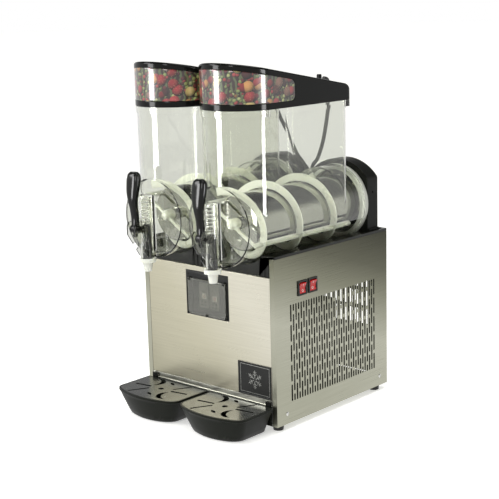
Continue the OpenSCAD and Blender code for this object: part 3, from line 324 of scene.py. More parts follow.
def mouldedPlastic(name, colour, roughness, grain=0.7, depth=0.05, worn=0.04, shine=0.5, ior=1.54):
    # injection moulded ABS: an even body colour, cloudy by a tenth, under a spark-eroded grain; grain is its
    # spacing in mm
    made, tree, shader = newMaterial(name, Base_Color=linear(colour), Roughness=roughness, IOR=ior,
                                     Specular_IOR_Level=shine)
    where = addNode(tree, "TexCoord").outputs["Object"]
    fine = addNode(tree, "TexNoise", {"Scale": 1000.0 / grain, "Detail": 2.0},
                   {"Vector": where}).outputs["Fac"]
    patch = addNode(tree, "TexNoise", {"Scale": 22.0, "Detail": 4.0, "Roughness": 0.6},
                    {"Vector": where}).outputs["Fac"]
    varied(tree, shader, (patch, 0.3, 0.7, roughness - worn, roughness + worn),
           (patch, shades(colour, (0.3, 0.9), (0.7, 1.1))), (fine, depth, 0.0003))
    return made


finish = {"rubber": mouldedPlastic("blackRubberSheath", "#161614", 0.5, grain=0.6, depth=0.12, shine=0.4)}

leads = {
    # shares of the way from the lid's gland to the deck's socket: across, back and down
    "left": [[0, 0, 0], [0.012, 0.183, 0.015], [0.048, 0.317, 0.087], [0.143, 0.488, 0.198],
             [0.31, 0.659, 0.326], [0.548, 0.732, 0.442], [0.738, 0.829, 0.555], [0.93, 0.915, 0.628],
             [0.985, 0.963, 0.721], [1, 1, 0.866], [1, 1, 1]],
    "right": [[0, 0, 0], [0.009, 0.183, 0.015], [0.047, 0.317, 0.087], [0.142, 0.415, 0.198],
              [0.255, 0.5, 0.308], [0.472, 0.695, 0.442], [0.73, 0.854, 0.57], [0.935, 0.951, 0.628],
              [0.985, 0.976, 0.721], [1, 1, 0.866], [1, 1, 1]],
    "radius": 4.5,
    "gland": (11.0, 288.0, 748.0),           # from the bowl's centre
    "socket": (5.0, 370.0, 404.1),
    "plugBase": 390.7,
}


def leadPath(plan, side):
    # each share is of the straight way from gland to socket; the curve runs through all of them
    sign = math.copysign(1, sides[side])
    first = np.array([sides[side] + plan["gland"][0], *plan["gland"][1:]])
    last = np.array([sign * plan["socket"][0], *plan["socket"][1:]])
    return throughPoints(first + np.array(plan[side]) * (last - first))


for side in sides:
    path = leadPath(leads, side)
    points, faces = tube(path, leads["radius"], 20)
    sheath = makeObject(f"{side}_lead_sheath", inFrame(points), faces)
    place(sheath, f"{side}_lid", "rubber", finish["rubber"])
    plug = lathe([(0.3, 0), (4.0, 0), (4.55, 0.8), (4.55, 13), (4.0, 16), (4.0, 19.4), (0.3, 19.4)], 36, "z")
    points, faces = moved(plug, None, (path[-1][0], path[-1][1], leads["plugBase"]))
    plugPiece = makeObject(f"{side}_lead_plug", inFrame(points), faces)
    place(plugPiece, f"{side}_lid", "rubber", finish["rubber"])
    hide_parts(f"{side}_lamp_lead")
    metres = inFrame(path)
    length = float(np.linalg.norm(np.diff(metres, axis=0), axis=1).sum())
print("lamp leads run")


def brushedStainless(name, light, dark, along, roughness=(0.26, 0.36), shade=None):
    # grade 304 stainless sheet, brushed one way: fine streaks that stretch each highlight across the grain.
    # real grit lines are about 0.1 mm apart; 1.3 mm is the finest that shows at this size. shade is painted
    # shade and painted reflection: it sums a straight rise along each axis it names, and darkens or lightens
    # the sheet's colour by its stops, in place of the room's light and shade on a satin sheet
    made, tree, shader = newMaterial(name, Metallic=1.0, Base_Color=linear(light))
    spread = {"x": (7, 760, 760), "y": (760, 7, 760), "z": (760, 760, 7)}[along]
    where = addNode(tree, "TexCoord").outputs["Object"]
    drawn = addNode(tree, "Mapping", {"Scale": spread}, {"Vector": where}).outputs["Vector"]
    streak = addNode(tree, "TexNoise", {"Scale": 1.0, "Detail": 3.0, "Roughness": 0.6}, {"Vector": drawn})
    cloud = addNode(tree, "TexNoise", {"Scale": 9.0, "Detail": 2.0}, {"Vector": where})
    colour = addNode(tree, "ValToRGB", feeds={"Fac": streak.outputs["Fac"]},
                     stops=[(0.25, dark), (0.8, light)]).outputs["Color"]
    # painted shade and painted reflection: a ramp over the sheet's own coordinates multiplies its colour
    if shade:
        split = addNode(tree, "SeparateXYZ", feeds={"Vector": where})
        level = None
        for axis, (low, high, start, end) in shade["rises"].items():
            part = addNode(tree, "MapRange",
                           {"From Min": low, "From Max": high, "To Min": start, "To Max": end},
                           {"Value": split.outputs[axis]}).outputs["Result"]
            level = part if level is None else addNode(tree, "Math", feeds={0: level, 1: part},
                                                       operation="ADD").outputs["Value"]
        paintedShadeRamp = addNode(tree, "ValToRGB", feeds={"Fac": level}, stops=shade["stops"])
        colour = addNode(tree, "Mix", {0: 1.0}, {6: colour, 7: paintedShadeRamp.outputs["Color"]}, data_type="RGBA",
                         blend_type="MULTIPLY").outputs[2]
    both = addNode(tree, "Math", feeds={0: streak.outputs["Fac"], 1: cloud.outputs["Fac"]},
                   operation="MULTIPLY").outputs["Value"]
    varied(tree, shader, (both, 0.1, 0.5, *roughness), relief=(streak.outputs["Fac"], 0.12, 0.0002))
    feed(shader, {"Base Color": colour})
    return made


def clearMoulding(name, colour, roughness=0.0, ior=1.52, clarity=1.0, worn=0.01):
    # clear moulded polycarbonate or acrylic: colourless in one wall and faintly smoky in many. Lamps shine
    # through it
    made, tree, shader = newMaterial(name, Base_Color=linear(colour), Roughness=roughness, IOR=ior,
                                     Transmission_Weight=clarity)
    where = addNode(tree, "TexCoord").outputs["Object"]
    rub = addNode(tree, "TexNoise", {"Scale": 14.0, "Detail": 3.0}, {"Vector": where})
    varied(tree, shader, (rub.outputs["Fac"], 0.5, 0.8, roughness, roughness + worn))
    path = addNode(tree, "LightPath")
    through = addNode(tree, "BsdfTransparent", {"Color": linear("#f4f5f1")})
    mix = addNode(tree, "MixShader", feeds={0: path.outputs["Is Shadow Ray"], 1: shader.outputs["BSDF"],
                                            2: through.outputs["BSDF"]})
    feed(tree.nodes["Material Output"], {"Surface": mix.outputs["Shader"]})
    return made


def milkyPlastic(name, colour, roughness=0.3, passes=0.12, soft=0.5):
    # natural acetal or nylon: milky, lit through its thickness, with a satin moulded face
    made, tree, shader = newMaterial(name, Base_Color=linear(colour), Roughness=roughness, IOR=1.48,
                                     Subsurface_Weight=soft, Subsurface_Scale=0.004,
                                     Subsurface_Radius=(1.0, 1.0, 0.85),
                                     Transmission_Weight=passes)
    where = addNode(tree, "TexCoord").outputs["Object"]
    patch = addNode(tree, "TexNoise", {"Scale": 30.0, "Detail": 3.0}, {"Vector": where}).outputs["Fac"]
    varied(tree, shader, (patch, 0.3, 0.7, roughness - 0.06, roughness + 0.08), relief=(patch, 0.05, 0.0004))
    return made


def turnedSteel(name, light, dark, roughness=0.1, spacing=1.6, bump=0.03):
    # stainless turned on a lathe and polished: faint rings about the barrel's axis, which are lines across y
    made, tree, shader = newMaterial(name, Metallic=1.0, Base_Color=linear(light))
    where = addNode(tree, "TexCoord").outputs["Object"]
    drawn = addNode(tree, "Mapping", {"Scale": (14, 1000.0 / spacing, 14)},
                    {"Vector": where}).outputs["Vector"]
    lines = addNode(tree, "TexNoise", {"Scale": 1.0, "Detail": 3.0}, {"Vector": drawn}).outputs["Fac"]
    varied(tree, shader, (lines, 0.3, 0.7, roughness * 0.6, roughness * 1.5),
           (lines, [(0.25, dark), (0.75, light)]),
           (lines, bump, 0.0002))
    return made


def crystalMetal(name, colour, roughness=0.45, metallic=1.0, grain=7.0):
    # galvanised, mill-finished or enamelled metal parts: soft-edged crystals, grain mm across, and a dull
    # shine
    made, tree, shader = newMaterial(name, Metallic=metallic, Base_Color=linear(colour))
    where = addNode(tree, "TexCoord").outputs["Object"]
    crystals = addNode(tree, "TexVoronoi", {"Scale": 1000.0 / grain}, {"Vector": where}).outputs["Distance"]
    varied(tree, shader, (crystals, 0.0, 1.0, roughness - 0.08, roughness + 0.1),
           (crystals, shades(colour, (0.0, 1.08), (0.8, 0.86))))
    return made


fruit = {
    "large": [(0.0, "#85262b"), (0.18, "#9f3a3c"), (0.36, "#4b2423"), (0.5, "#b98650"), (0.64, "#8f2f33"),
              (0.78, "#b9a468"), (0.9, "#7c5a4c")],
    "small": [(0.0, "#7b8650"), (0.3, "#5a2a2e"), (0.55, "#a3a86e"), (0.75, "#97393a")],
}


def fruitPrint(name, plan):
    # printed film under a clear gloss: a free arrangement of round fruit in muted ink over leaves. Each
    # cell's offset from its centre gives a ball, bright in the middle and towards its upper left; large fruit
    # are about 25 mm across, berries 9 mm
    made, tree, shader = newMaterial(name, Roughness=0.3, IOR=1.5, Coat_Weight=1.0, Coat_Roughness=0.03)
    where = addNode(tree, "UVMap", uv_map="flat").outputs["UV"]
    cells = []
    for scale, reach, inks, pick in ((40.0, 0.52, plan["large"], "Red"),
                                     (105.0, 0.5, plan["small"], "Green")):
        cell = addNode(tree, "TexVoronoi", {"Scale": scale, "Randomness": 0.7}, {"Vector": where})
        aside = addNode(tree, "VectorMath", feeds={0: where, 1: cell.outputs["Position"]},
                        operation="SUBTRACT")
        unit = addNode(tree, "VectorMath", {"Scale": scale / reach}, {0: aside.outputs["Vector"]},
                       operation="SCALE").outputs["Vector"]
        square = addNode(tree, "VectorMath", feeds={0: unit, 1: unit},
                         operation="DOT_PRODUCT").outputs["Value"]
        lean = addNode(tree, "VectorMath", {1: (-0.35, 0.6, 0.0)}, {0: unit},
                       operation="DOT_PRODUCT").outputs["Value"]
        bulge = addNode(tree, "MapRange", {"From Min": 0.0, "From Max": 1.0, "To Min": 0.95, "To Max": 0.3},
                        {"Value": square}).outputs["Result"]
        shade = addNode(tree, "Math", feeds={0: bulge, 1: lean}, operation="ADD").outputs["Value"]
        choice = addNode(tree, "SeparateColor", feeds={"Color": cell.outputs["Color"]})
        hue = addNode(tree, "ValToRGB", feeds={"Fac": choice.outputs[pick]}, stops=inks)
        hue.color_ramp.interpolation = "CONSTANT"
        ball = addNode(tree, "VectorMath", feeds={0: hue.outputs["Color"], "Scale": shade},
                       operation="SCALE").outputs["Vector"]
        inside = addNode(tree, "Math", {1: 1.0}, {0: square}, operation="LESS_THAN").outputs["Value"]
        cells.append((ball, inside, choice.outputs["Blue"]))
    seeds = addNode(tree, "TexVoronoi", {"Scale": 300.0, "Randomness": 0.4}, {"Vector": where})
    pips = addNode(tree, "Math", {1: 0.22}, {0: seeds.outputs["Distance"]},
                   operation="LESS_THAN").outputs["Value"]
    seedy = addNode(tree, "Math", {1: 0.35}, {0: cells[0][2]}, operation="LESS_THAN").outputs["Value"]
    seeded = addNode(tree, "Math", feeds={0: pips, 1: seedy}, operation="MULTIPLY").outputs["Value"]
    seedTone = addNode(tree, "Math", {1: 0.4}, {0: seeded}, operation="MULTIPLY").outputs["Value"]
    large = addNode(tree, "Mix", {7: linear("#c9ab78")}, {0: seedTone, 6: cells[0][0]},
                    data_type="RGBA").outputs[2]
    leaves = addNode(tree, "TexWave", {"Scale": 26.0, "Distortion": 9.0, "Detail": 2.0}, {"Vector": where})
    ground = addNode(tree, "ValToRGB", feeds={"Fac": leaves.outputs["Fac"]},
                     stops=[(0.2, "#2b211c"), (0.55, "#3d2b28"), (0.75, "#4f5a3c")]).outputs["Color"]
    berries = addNode(tree, "Mix", feeds={0: cells[1][1], 6: ground, 7: cells[1][0]},
                      data_type="RGBA").outputs[2]
    both = addNode(tree, "Mix", feeds={0: cells[0][1], 6: berries, 7: large}, data_type="RGBA")
    feed(shader, {"Base Color": both.outputs[2]})
    made.diffuse_color = linear("#623936")
    return made


# painted shade for the brushed sheets: the side panel's colour darkens towards its top and rear, and the
# front's lightens towards its right and top, standing in for the room's light and reflection
sidePaintedShade = {"rises": {"Z": (0.05, 0.387, 0.0, 0.8), "Y": (-0.14, 0.27, -0.12, 0.2)},
             "stops": [(0.0, "#e6e6de"), (0.35, "#f6f6f1"), (0.62, "#b5b5aa"), (0.78, "#85857b"),
                       (1.0, "#53534b")]}
frontPaintedShade = {"rises": {"X": (-0.19, 0.19, 0.0, 0.6), "Z": (0.05, 0.345, 0.0, 0.4)},
              "stops": [(0.0, "#bebeb2"), (0.2, "#dad9cf"), (0.45, "#e8e7dd"), (0.8, "#ffffff")]}
finish.update({
    "stainless": brushedStainless("brushedStainlessFront", "#efebda", "#dedac9", "x", shade=frontPaintedShade),
    "sidePanel": brushedStainless("brushedStainlessSide", "#d2d2c5", "#bcbcae", "y", shade=sidePaintedShade),
    "sill": brushedStainless("brushedStainlessSill", "#d6d6c9", "#c6c6b9", "x"),
    "galvanised": crystalMetal("galvanisedSheet", "#a9aba6", 0.5),
    "aluminium": crystalMetal("millAluminium", "#b9bab6", 0.4),
    "enamel": crystalMetal("blackEnamelledShell", "#1b1c1b", 0.35, 0.0),
    "deckPlastic": mouldedPlastic("blackAbsDeck", "#151612", 0.2, shine=0.3),
    "coverPlastic": mouldedPlastic("blackAbsCover", "#10110e", 0.38, grain=1.0, depth=0.1, shine=0.12),
    "lidPlastic": mouldedPlastic("glossBlackAbsLid", "#0d0e0c", 0.12, depth=0.02, worn=0.03, shine=0.14),
    "trayPlastic": mouldedPlastic("darkAbsTray", "#171914", 0.4, grain=0.9, depth=0.08, shine=0.12),
    "gridPlastic": mouldedPlastic("darkAbsGrid", "#1d1f1a", 0.24, grain=0.9, depth=0.03, shine=0.6),
    "leverPlastic": mouldedPlastic("glossBlackLever", "#080907", 0.13, depth=0.01, worn=0.02, shine=0.25),
    "piston": mouldedPlastic("blackAcetalPiston", "#080907", 0.3, depth=0.02, shine=0.12),
    "badgePlastic": mouldedPlastic("glossBlackBadge", "#1a1b19", 0.3, shine=0.35),
    "bezel": mouldedPlastic("blackAbsBezel", "#161715", 0.35, shine=0.35),
    "greyPlastic": mouldedPlastic("greyAbsControls", "#8b8c83", 0.35, shine=0.4),
    "clear": clearMoulding("clearPolycarbonateBowl", "#eff0ea"),
    "smoked": clearMoulding("smokedFlapSheet", "#b4b4ad", 0.03, 1.5, 0.86, 0.03),
    "auger": milkyPlastic("milkyAcetalAuger", "#cfd1c5"),
    "nozzle": milkyPlastic("milkyNylonNozzle", "#e6e7df"),
    "gasket": mouldedPlastic("greySiliconeGasket", "#b1b3ac", 0.34, grain=0.8),
    "drum": turnedSteel("mirrorPolishedDrum", "#bdbeb6", "#b0b1a8", 0.05, 2.4, 0.01),
    "brightSteel": turnedSteel("brightSpringSteel", "#f2f2ee", "#e4e4df", 0.3, 0.8),
    "red": clearMoulding("translucentRedRocker", "#cc2b2a", 0.1, 1.5, 0.35, 0.05),
    "whiteInk": mouldedPlastic("whitePrintInk", "#e9e6e2", 0.4),
    "silverInk": crystalMetal("silverFoil", "#c9cac4", 0.3),
    "display": mouldedPlastic("paleDisplayWindow", "#f0f1e8", 0.25),
    "redSegments": mouldedPlastic("redDisplaySegments", "#c2322f", 0.4),
    "print": fruitPrint("printedFruitFilm", fruit),
})
redShader = finish["red"].node_tree.nodes["Principled BSDF"]
# the neon lamp inside each rocker glows faintly
redShader.inputs["Emission Color"].default_value = linear("#b01010")
redShader.inputs["Emission Strength"].default_value = 0.1
print("materials made")

carried = {
    "stainless": ["front_panel"], "sill": ["front_sill"],
    "sidePanel": ["left_side_panel", "right_side_panel"],
    "brightSteel": ["panel_screws"], "galvanised": ["base_pan", "rear_panel", "fan_shroud"],
    "rubber": ["feet"],
    "coverPlastic": ["tray_holder", "condenser_fan"], "deckPlastic": ["top_deck"],
    "bezel": ["control_recess", "front_switch_frame", "rear_switch_frame", "mains_inlet"],
    "greyPlastic": ["left_thermostat", "right_thermostat"], "smoked": ["control_flap"],
    "enamel": ["compressor"],
    "badgePlastic": ["badge_plate"], "red": ["front_rocker", "rear_rocker"],
    "aluminium": ["condenser", "fan_motor"],
}
perSide = {"gear_motor": "aluminium", "motor_cover": "coverPlastic", "drum": "drum", "gasket": "gasket",
           "bowl": "clear", "auger": "auger",
           "drive_shaft": "brightSteel", "lid": "lidPlastic", "lid_print": "print", "lamp_lead": "rubber",
           "lever": "leverPlastic",
           "lever_pin": "leverPlastic", "piston": "piston", "spring": "brightSteel", "nozzle": "nozzle",
           "tray": "trayPlastic", "grid": "gridPlastic"}
for key, names in [*carried.items(),
                   *((key, [f"left_{part}", f"right_{part}"]) for part, key in perSide.items())]:
    for name in names:
        nodes[name].data.materials.clear()
        nodes[name].data.materials.append(finish[key])
print("carried-over nodes dressed")

edgeWidths = [
    # nodes, width of the rounded edge in mm, finish and material slot
    ("front_panel", 0.8, "stainless", "stainless"),
    ("front_sill", 0.5, "sill", "stainless"),
    ("left_side_panel right_side_panel", 0.5, "sidePanel", "stainless"),
    ("top_deck", 0.8, "deckPlastic", "black_plastic"),
    ("control_recess", 0.6, "bezel", "black_plastic"),
    ("badge_plate", 0.4, "badgePlastic", "enamel_black"),
    ("front_switch_frame rear_switch_frame", 0.5, "bezel", "black_plastic"),
    ("front_rocker rear_rocker", 0.5, "red", "red_plastic"),
    ("left_motor_cover right_motor_cover", 1.5, "coverPlastic", "black_plastic"),
    ("left_grid right_grid", 0.9, "gridPlastic", "grid_black"),
    ("left_tray right_tray", 0.9, "trayPlastic", "black_plastic"),
]


def softened(node, width, surface, slotName, segments=2, angle=38):
    # a copy of a CAD node's shape whose edges are rounded, as folded sheet and mouldings are; width in mm
    mesh = nodes[node].data.copy()
    mesh.name = node + "_finish"
    work = bmesh.new()
    work.from_mesh(mesh)
    bmesh.ops.remove_doubles(work, verts=work.verts, dist=2e-6)
    bmesh.ops.dissolve_limit(work, angle_limit=math.radians(0.6), verts=work.verts, edges=work.edges)
    work.to_mesh(mesh)
    work.free()
    mesh.shade_smooth()
    mesh.set_sharp_from_angle(angle=math.radians(angle))
    copy = newObject(node + "_finish", mesh)
    edge = copy.modifiers.new("edge", "BEVEL")
    edge.width, edge.segments, edge.limit_method = width / 1000, segments, "ANGLE"
    edge.angle_limit, edge.harden_normals = math.radians(angle), True
    edge.use_clamp_overlap = True
    return place(copy, nodes[node]["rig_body"], slotName, surface, (node,))


rounded = {node: softened(node, width, finish[key], slotName)
           for names, width, key, slotName in edgeWidths for node in names.split()}
print("edges rounded:", len(rounded))

trayBack = {
    # known fault of the CAD: the tray's solid has no rear wall below its lip, and this plate hides that.
    # heights and half widths in mm
    "outline": [(2.5, 68.0), (10.0, 72.5), (20.0, 77.5), (30.0, 82.0), (41.0, 86.5), (45.5, 88.0)],
    "front": -13.6, "back": -11.05,
}


def trayWall(plan):
    # a plate across y whose half width grows with height, as the tray's leaning sides do
    outline = [(half, z) for z,
               half in plan["outline"]] + [(-half, z) for z, half in reversed(plan["outline"])]
    count = len(outline)
    points = np.array([(x, y, z) for y in (plan["front"], plan["back"]) for x, z in outline])
    around = [(k, (k + 1) % count, (k + 1) % count + count, k + count) for k in range(count)]
    return points, [tuple(reversed(range(count))),
                    tuple(range(count, 2 * count))] + [tuple(reversed(face)) for face in around]


for side in sides:
    points, faces = trayWall(trayBack)
    place(makeObject(f"{side}_tray_back", inFrame(points, side), faces), f"{side}_tray", "black_plastic",
          finish["trayPlastic"])

lever = {
    # height above the pivot, half depth, half width, place along y (mm)
    "stations": [[-9, 4.5, 6.5, 0], [6, 6.5, 8, 0], [24, 7.2, 9, 0.5], [44, 7.4, 9.6, -1.5], [62, 8, 12, -4],
                 [80, 9, 15.6, -3.5], [98, 10, 17.8, -0.5], [114, 10, 17.4, 2], [122, 8, 14.6, 2.8],
                 [126, 5, 9.6, 3]],
    "pivot": (0, -115.5, 441.0),
    "squareness": 0.72,
    "hub": 9.4,
}


def smoothTable(at, values, wanted):
    # a smooth curve through a table: the slope at each entry is the mean slope of its neighbours, joined by
    # cubics
    at, values, wanted = map(np.asarray, (at, values, wanted))
    slope = np.gradient(values.astype(float), at.astype(float))
    i = np.clip(np.searchsorted(at, wanted, side="right") - 1, 0, len(at) - 2)
    h = at[i + 1] - at[i]
    t = (wanted - at[i]) / h
    return ((2 * t ** 3 - 3 * t ** 2 + 1) * values[i] + (t ** 3 - 2 * t ** 2 + t) * h * slope[i]
            + (3 * t ** 2 - 2 * t ** 3) * values[i + 1] + (t ** 3 - t ** 2) * h * slope[i + 1])


def leverShell(plan):
    # rings up the handle: each is a squared ellipse, x = half width times the signed power of the cosine, y
    # likewise of the sine
    table = np.array(plan["stations"], float)
    levels = np.concatenate([np.linspace(-9, 114, 60), 114 + 12 * np.sin(np.linspace(0, np.pi / 2, 14))[1:]])
    half, wide, lean = (smoothTable(table[:, 0], table[:, k], levels) for k in (1, 2, 3))
    turn = np.linspace(0, 2 * np.pi, 48, endpoint=False)
    c, s = np.cos(turn), np.sin(turn)
    power = plan["squareness"]
    x = wide[:, None] * np.sign(c) * np.abs(c) ** power
    y = lean[:, None] + half[:, None] * np.sign(s) * np.abs(s) ** power
    z = np.broadcast_to(levels[:, None], x.shape)
    return loft(np.stack([x, y, z], -1))


for side in sides:
    r = lever["hub"]
    hub = lathe([(0.4, -9.3), (r - 0.8, -9.3), (r, -8.5), (r, 8.5), (r - 0.8, 9.3), (0.4, 9.3)], 48, "x")
    tip = moved(roundedBar((8, 8, 16), 2.2), None, (0, -1, -10))
    arm = moved(roundedBar((8, 22, 4.8), 1.6), turnX(-math.degrees(math.atan2(4, 18))), (0, 9, -2))
    nose = moved(lathe([(0.3, -4), (3.4, -4), (4, -3.4), (4, 3.4), (3.4, 4), (0.3, 4)], 32, "x"), None,
                 (0, 18, -4))
    points, faces = joined([leverShell(lever), hub, tip, arm, nose])
    piece = makeObject(f"{side}_lever_skin", inFrame(points + np.array(lever["pivot"]), side), faces)
    place(piece, f"{side}_lever", "gloss_black", finish["leverPlastic"], (f"{side}_lever",))
print("levers shaped")

spring = {"wire": 1.1, "radius": 8.0, "low": 447.4, "high": 507.5, "coils": 7.0, "flat": 0.9}


def springPath(plan):
    # a helix: height rises evenly over the coils and stays almost level over the first and last turns, which
    # lie closed
    turns = np.linspace(0, plan["coils"] + 2 * plan["flat"], 420)
    share = np.clip((turns - plan["flat"]) / plan["coils"], 0, 1)
    height = plan["low"] + plan["wire"] + (plan["high"] - plan["low"]
                                           - 2 * plan["wire"]) * (0.04 * turns / turns[-1] + 0.96 * share)
    return np.stack([plan["radius"] * np.cos(2 * np.pi * turns),
                     -83 + plan["radius"] * np.sin(2 * np.pi * turns), height], -1)


for side in sides:
    points, faces = tube(springPath(spring), spring["wire"], 10)
    piece = makeObject(f"{side}_spring_coil", inFrame(points, side), faces)
    place(piece, f"{side}_piston", "spring_steel", finish["brightSteel"], (f"{side}_spring",))
    # known fault: the anchor is near the coil's upper end, though its lower end rides on the piston, so at
    # full pull the coil rises out of the tube
    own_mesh(piece)
print("springs wound")

drum = {"radius": 63.0, "front": 8.0, "back": 351.7, "round": 5.0, "flange": 76.0, "flangeDepth": 4.0,
        "boss": 14.0, "bossFront": 2.0, "bore": 8.3}


def drumProfile(plan):
    # out across the front disc, round its edge by a quarter circle, back along the barrel and out to the
    # flange
    a = np.linspace(0, np.pi / 2, 9)
    r, y, e = plan["radius"], plan["front"], plan["round"]
    edge = [(r - e + e * math.sin(t), y + e - e * math.cos(t)) for t in a]
    return [(plan["bore"], plan["bossFront"]), (plan["boss"] - 1, plan["bossFront"]),
            (plan["boss"], plan["bossFront"] + 1), (plan["boss"], y), *edge,
            (r, plan["back"] - plan["flangeDepth"]), (plan["flange"], plan["back"] - plan["flangeDepth"]),
            (plan["flange"], plan["back"]), (plan["bore"], plan["back"])]


for side in sides:
    points, faces = lathe(drumProfile(drum), 180)
    piece = makeObject(f"{side}_drum_barrel", inFrame(points + np.array([0, 0, axisHeight]), side), faces)
    place(piece, "machine", "drum_steel", finish["drum"], (f"{side}_drum",))
print("drums turned")

auger = {"pitch": 120.0, "outer": 83.2, "inner": 66.0, "thick": 4.0, "front": -40.0, "end": 314.0,
         "bar": -33.0, "barIn": 68.1, "barOut": 78.9, "hub": 12.5, "hubFront": -22.0}


def flightShell(plan):
    # a rounded rectangle, thicker at its inner edge, carried round the axis: y falls by one pitch for each
    # turn
    first = (-5 - plan["front"]) / plan["pitch"] * 360
    steps = np.radians(np.arange(0, (plan["end"] - plan["front"]) / plan["pitch"] * 360, 2.5))
    angle = np.radians(first) - steps
    y = -5 - plan["pitch"] * angle / (2 * np.pi)
    mid, half = (plan["outer"] + plan["inner"]) / 2, (plan["outer"] - plan["inner"]) / 2
    turn = np.linspace(0, 2 * np.pi, 28, endpoint=False)
    c, s = np.cos(turn), np.sin(turn)
    radial = half * np.sign(c) * np.abs(c) ** 0.35
    thick = (plan["thick"] / 2 + 0.9 * (1 - radial / half) / 2) * np.sign(s) * np.abs(s) ** 0.5
    radius = mid + radial
    rings = np.stack([radius * np.cos(angle)[:, None], y[:, None] + thick, radius * np.sin(angle)[:, None]],
                     -1)
    return loft(rings)


for side in sides:
    y0, r = auger["hubFront"], auger["hub"]
    length = auger["end"] - y0 - 6
    bar = moved(roundedBar((auger["barOut"] - auger["barIn"], length, 8), 2.4), None,
                ((auger["barOut"] + auger["barIn"]) / 2, y0 + 2.3 + length / 2, 0))
    bars = [moved(bar, turnY(-a)) for a in (auger["bar"], auger["bar"] + 180)]
    cross = moved(moved(roundedBar((2 * auger["barOut"], 7, 7), 2.2), None, (0, y0 + 4.5, 0)),
                  turnY(-auger["bar"]))
    hub = lathe([(0.3, y0 - 4), (r - 5, y0 - 4), (r - 3.2, y0 - 2.6), (r - 1, y0), (r, y0 + 2), (r, y0 + 20),
                 (8.3, y0 + 20), (8.3, y0 + 3), (0.3, y0 + 3)], 72)
    points, faces = joined([flightShell(auger), *bars, cross, hub])
    piece = makeObject(f"{side}_auger_flight", inFrame(points + np.array([0, 0, axisHeight]), side), faces)
    place(piece, f"{side}_auger", "white_plastic", finish["auger"], (f"{side}_auger",))
print("augers turned")

lid = {"half": 90.0, "front": 66.0, "bow": 78.0, "back": 290.0, "corner": 50.0, "rearCorner": 14.0,
       "base": 703.3, "roof": 789.7, "slope": math.tan(math.radians(10.4)),
       "edge": 5.0, "rearRound": 22.0, "trim": 12.5, "printEnd": 93.0, "recess": 1.1, "wall": 2.5}
printShift = {"left": 0.0, "right": 0.37}      # each lid shows another stretch of the pattern


def planCurve(plan, count=260):
    # the lid's outline from the front, counterclockwise from above: a bowed front, rounded corners, straight
    # sides and a flat back, its points evenly spaced along it
    r, half = plan["corner"], plan["half"]
    crown = (plan["bow"] ** 2 + (half - r) ** 2 - r ** 2) / (2 * (plan["bow"] - r))
    sideFront = plan["bow"] - plan["front"]
    centre = sideFront + (crown - plan["bow"])          # the crown arc's centre along y
    reach = math.atan2(half - r, crown - plan["bow"])
    a = np.linspace(0, reach, 60)
    bow = np.stack([crown * np.sin(a), centre - crown * np.cos(a)], -1)
    b = np.linspace(reach, np.pi / 2, 40)[1:]
    corner = np.stack([half - r + r * np.sin(b), sideFront - r * np.cos(b)], -1)
    rb = plan["rearCorner"]
    c = np.linspace(0, np.pi / 2, 14)
    rear = np.stack([half - rb + rb * np.cos(c), plan["back"] - rb + rb * np.sin(c)], -1)
    right = np.concatenate([bow, corner, rear, [[0, plan["back"]]]])
    gap = np.concatenate([[0], np.cumsum(np.linalg.norm(np.diff(right, axis=0), axis=1))])
    at = np.linspace(0, gap[-1], count)
    right = np.stack([np.interp(at, gap, right[:, k]) for k in (0, 1)], -1)
    left = right[-2:0:-1] * np.array([-1, 1])
    return np.concatenate([right, left])


def outward(outline):
    # the outline's normals: its direction turned by a quarter
    ahead = np.roll(outline, -1, 0) - np.roll(outline, 1, 0)
    ahead /= np.linalg.norm(ahead, axis=1, keepdims=True)
    return np.stack([ahead[:, 1], -ahead[:, 0]], -1)


def roofHeight(y, plan):
    # the roof over a place along y: a straight fall to the rear, then a quarter round down the back
    flat = plan["roof"] - plan["slope"] * y
    into = np.clip(y - (plan["back"] - plan["rearRound"]), 0, plan["rearRound"])
    return flat - (plan["rearRound"] - np.sqrt(np.clip(plan["rearRound"] ** 2 - into ** 2, 0, None)))


def printWindow(y, plan, inset=0.0):
    # lowest and highest places of the print at a place along y; its rear end is rounded
    r = 14.0
    low = plan["base"] + plan["trim"] + inset
    high = plan["roof"] - plan["trim"] - inset - plan["slope"] * y
    into = np.clip(y - (plan["printEnd"] - inset - r), 0, r)
    rounding = r - np.sqrt(np.clip(r * r - into ** 2, 0, None))
    return low + rounding, high - rounding


def lidShell(plan):
    # rings from the lower edge up the wall, over the rounded edge and in to the roof's middle line
    outline = planCurve(plan)
    out = outward(outline)
    rim = roofHeight(outline[:, 1], plan)
    low, high = printWindow(outline[:, 1], plan)
    wallTop = rim - plan["edge"]
    rings = []
    share = np.concatenate([[0, 0.012, 0.05], np.linspace(0.09, 0.97, 54), [1.0]])
    for t in share:
        z = plan["base"] + t * (wallTop - plan["base"])
        inside = np.minimum(z - low, high - z)
        ends = np.clip((plan["printEnd"] - outline[:, 1]) / 1.5, -1, 1)
        sunk = plan["recess"] * np.clip(np.minimum(inside / 1.5, ends), 0, 1)
        first = 1.0 if t == 0 else 0.0
        rings.append(np.column_stack([outline - out * (sunk + first)[:, None], z]))
    for a in np.linspace(0, np.pi / 2, 9)[1:]:
        rings.append(np.column_stack([outline - out * (plan["edge"] * (1 - math.cos(a))),
                                      wallTop + plan["edge"] * math.sin(a)]))
    inner = outline - out * plan["edge"]
    spine = np.stack([np.zeros(len(inner)),
                      np.clip(inner[:, 1], plan["bow"] - plan["front"] + 10, plan["back"] - 60)], -1)
    for t in np.linspace(0, 1, 12)[1:]:
        flat = inner * (1 - t) + spine * t
        rings.append(np.column_stack([flat, roofHeight(flat[:, 1], plan)]))
    points = np.array(rings)
    rows, around = points.shape[:2]
    return points.reshape(-1, 3), gridFaces(rows, around)


